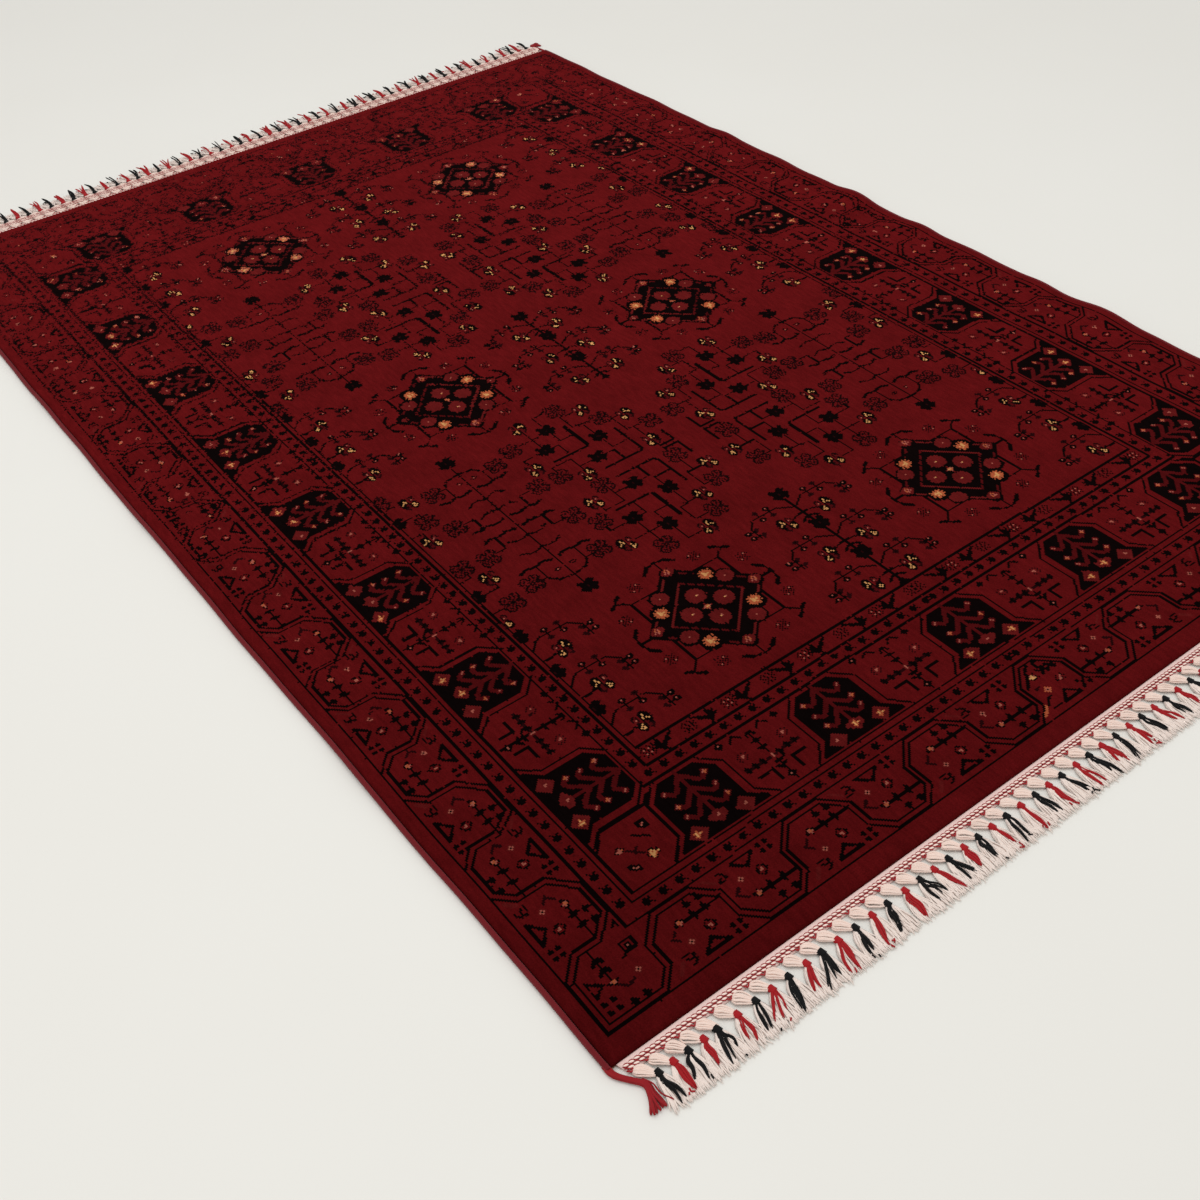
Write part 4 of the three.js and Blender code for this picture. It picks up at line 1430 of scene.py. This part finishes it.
def hanging_line(knot, start, spread, tip, heights, bends, opening):
    # A yarn from under the tie to its tip, with two soft bends on the way.
    top, side = start
    length = tip - top
    first = knot + side + (spread - side) * opening[0] - 0.0010 + bends[0]
    second = knot + side + (spread - side) * opening[1] - 0.0002 + bends[1]
    return np.array([
        across_end(knot + side, top, heights[0]),
        across_end(first, top + BEND_PLACES[0] * length, heights[1]),
        across_end(second, top + BEND_PLACES[1] * length, heights[2]),
        across_end(knot + spread + bends[2], tip, heights[3]),
    ])


def width_along(widths, count):
    return np.interp(np.linspace(0, 1, count), *widths)


def wound_tie(knot, title):
    along = np.linspace(0, 1, 4 * TIE_TURNS + 1)
    bulge = 1 + TIE_BULGE * np.cos(along * TIE_TURNS * 2 * np.pi + np.pi)
    closing = np.interp(along, *TIE_CLOSING)
    x = knot + TIE_START + TIE_SLANT * along
    line = across_end(x, TIE_TOP[title] + along * TIE_LENGTH, TIE_HEIGHT[title])
    return tube(line, TIE_WIDTH * bulge * closing, TIE_DEPTH * bulge * closing, 10)


def tie_ends(knot, lean, title, draw):
    # The tie's own ends: flat bundles of strands that lie side by side.
    bottom, height = TIE_TOP[title] + TIE_LENGTH, TIE_HEIGHT[title]
    late, last = TIE_TIP_HEIGHTS[title]
    parts = []
    bundles = draw.choice(BUNDLES)
    for bundle in range(bundles):
        place = bundle - (bundles - 1) / 2
        side = lean + place * draw.uniform(*BUNDLES_APART) + draw.normal(0, BUNDLE_STRAY)
        reach = draw.uniform(*TIE_REACH)
        strands = draw.integers(*(LONE_STRANDS if bundles == 1 else SHARED_STRANDS))
        waves = draw.normal(0, BUNDLE_WAVE, 3)
        for strand in range(strands):
            apart = (strand - (strands - 1) / 2) * STRANDS_APART
            tip = bottom + (reach + draw.normal(0, REACH_STRAY)) * (TASSEL_TIP - 0.002 - bottom)
            bends = waves + apart * np.array(STRAND_FAN) + draw.normal(0, STRAND_WAVE, 3)
            level = STRAND_STEP * (strand % 2)
            heights = (height + 0.0010, height + 0.0012 + level, late + level, last + level)
            start = (bottom - 0.0022, place * 0.0022 + apart * 0.4)
            spots = hanging_line(knot, start, side, tip, heights, bends, TIE_OPENINGS[title])
            parts.append(tube(smooth_line(spots, 10), width_along(STRAND_WIDTHS, 10), sides=5))
    return parts


def tie_specks(knot, lean, draw):
    # Strands that pass under the cotton show again as specks near the tassel's tip.
    parts = []
    for speck in range(draw.choice(SPECKS)):
        side = lean * 0.8 + draw.uniform(-0.005, 0.008)
        start = TASSEL_TIP - draw.uniform(*SPECK_BACK)
        x = knot + side + np.array([0.0, draw.normal(0.001, 0.002)])
        out = start + np.array([0.0, draw.uniform(0.002, 0.006)])
        parts.append(tube(across_end(x, out, np.array([0.0052, 0.0042])), SPECK_WIDTH, sides=5))
    return parts


def tassel_locks(knot, lean, title, draw):
    # Broad locks of cotton that lie low, near the floor.
    bottom, height = TIE_TOP[title] + TIE_LENGTH, TIE_HEIGHT[title]
    width = width_along(LOCK_WIDTHS, 9)
    parts = []
    for lock in range(TASSEL_LOCKS):
        share = (lock + 0.5) / TASSEL_LOCKS * 2 - 1
        tip = TASSEL_TIP - 0.0045 + draw.normal(0, 0.0015) - 0.003 * share ** 2
        spread = lean + share * TASSEL_FAN * 0.94
        bends = draw.normal(0, 0.0007, 3)
        heights = (height - 0.0006, 0.0022 + height * 0.15, 0.0016, 0.0012)
        start = (bottom - 0.0030, share * 0.0034)
        spots = hanging_line(knot, start, spread, tip, heights, bends, COTTON_OPENING)
        parts.append(tube(smooth_line(spots, 9), width, np.minimum(width * 0.5, 0.0018), 4))
    return parts


def tassel_yarns(knot, lean, title, draw):
    # Single yarns of cotton over the locks.
    bottom, height = TIE_TOP[title] + TIE_LENGTH, TIE_HEIGHT[title]
    parts = []
    for yarn in range(TASSEL_YARNS):
        share = (yarn + 0.5) / TASSEL_YARNS * 2 - 1 + draw.normal(0, 0.05)
        tip = TASSEL_TIP + draw.normal(-0.001, 0.0024) - 0.0015 * share ** 2
        spread = lean + share * TASSEL_FAN + draw.normal(0, 0.0010)
        bends = draw.normal(0, 1, 3) * (0.0008, 0.0013, 0.0022)
        deep = draw.uniform(0.0024, 0.0042)
        heights = (height - 0.0002, deep + 0.0008 + height * 0.12, deep, 0.0012 + deep * 0.35)
        start = (bottom - 0.0030, share * 0.0036)
        spots = hanging_line(knot, start, spread, tip, heights, bends, COTTON_OPENING)
        parts.append(tube(smooth_line(spots, 8), width_along(YARN_WIDTHS, 8), sides=4))
    return parts


for title, turned in ENDS:
    tie_random = np.random.default_rng(31 if turned else 30)
    ties = {"black": [], "red": []}
    tassels = []
    for tassel in range(TASSELS):
        knot = tie_place(title, tassel) + tie_random.normal(0, KNOT_STRAY)
        lean = FAR_LEAN if turned else float(np.interp(knot, *zip(*NEAR_LEANS)))
        lean += tie_random.normal(0, LEAN_STRAY)
        tie = ties["black" if tassel % 2 == 0 else "red"]
        tie.append(wound_tie(knot, title))
        tie += tie_ends(knot, lean, title, tie_random)
        tie += tie_specks(knot, lean, tie_random)
        tassels += tassel_locks(knot, lean * COTTON_LEAN, title, tie_random)
        tassels += tassel_yarns(knot, lean * COTTON_LEAN, title, tie_random)
    join_parts("black_ties_" + title, ties["black"], tie_black, turned)
    join_parts("red_ties_" + title, ties["red"], tie_red, turned)
    join_parts("tassels_" + title, tassels, tassel_cotton, turned)


# The studio: a plain pale floor under even, soft light from above and all round.
bpy.ops.mesh.primitive_plane_add(size=24, location=(0, 0, 0))
floor = bpy.context.object
floor.name = "floor"
studio_floor, tree, shader = new_material("studio_floor")
where = node(tree, "ShaderNodeTexCoord").outputs["Object"]
mottle = node(tree, "ShaderNodeTexNoise", Vector=where, Scale=1.2, Detail=3.0)
floor_tone = node(tree, "ShaderNodeMix", {"data_type": "RGBA"}, Factor=mottle.outputs[0],
                  i6=screen_colour(228, 226, 220), i7=screen_colour(232, 231, 226))
tree.links.new(floor_tone.outputs[2], shader.inputs["Base Color"])
set_finish(shader, 0.8, 0.15)
floor.data.materials.append(studio_floor)

studio = bpy.context.scene.world or bpy.data.worlds.new("studio")
bpy.context.scene.world = studio
studio.use_nodes = True
studio.node_tree.nodes["Background"].inputs["Color"].default_value = (1, 0.995, 0.98, 1)
studio.node_tree.nodes["Background"].inputs["Strength"].default_value = 0.78


def softbox(name, place, aim, size, power):
    light = bpy.data.lights.new(name, "AREA")
    light.shape, light.size, light.energy = "SQUARE", size, power
    made = bpy.data.objects.new(name, light)
    made.location = place
    made.rotation_euler = (Vector(aim) - Vector(place)).to_track_quat("-Z", "Y").to_euler()
    bpy.context.collection.objects.link(made)


softbox("softbox_over", (-0.9, -0.3, 4.2), (-0.6, -0.2, 0), 3.6, 62)
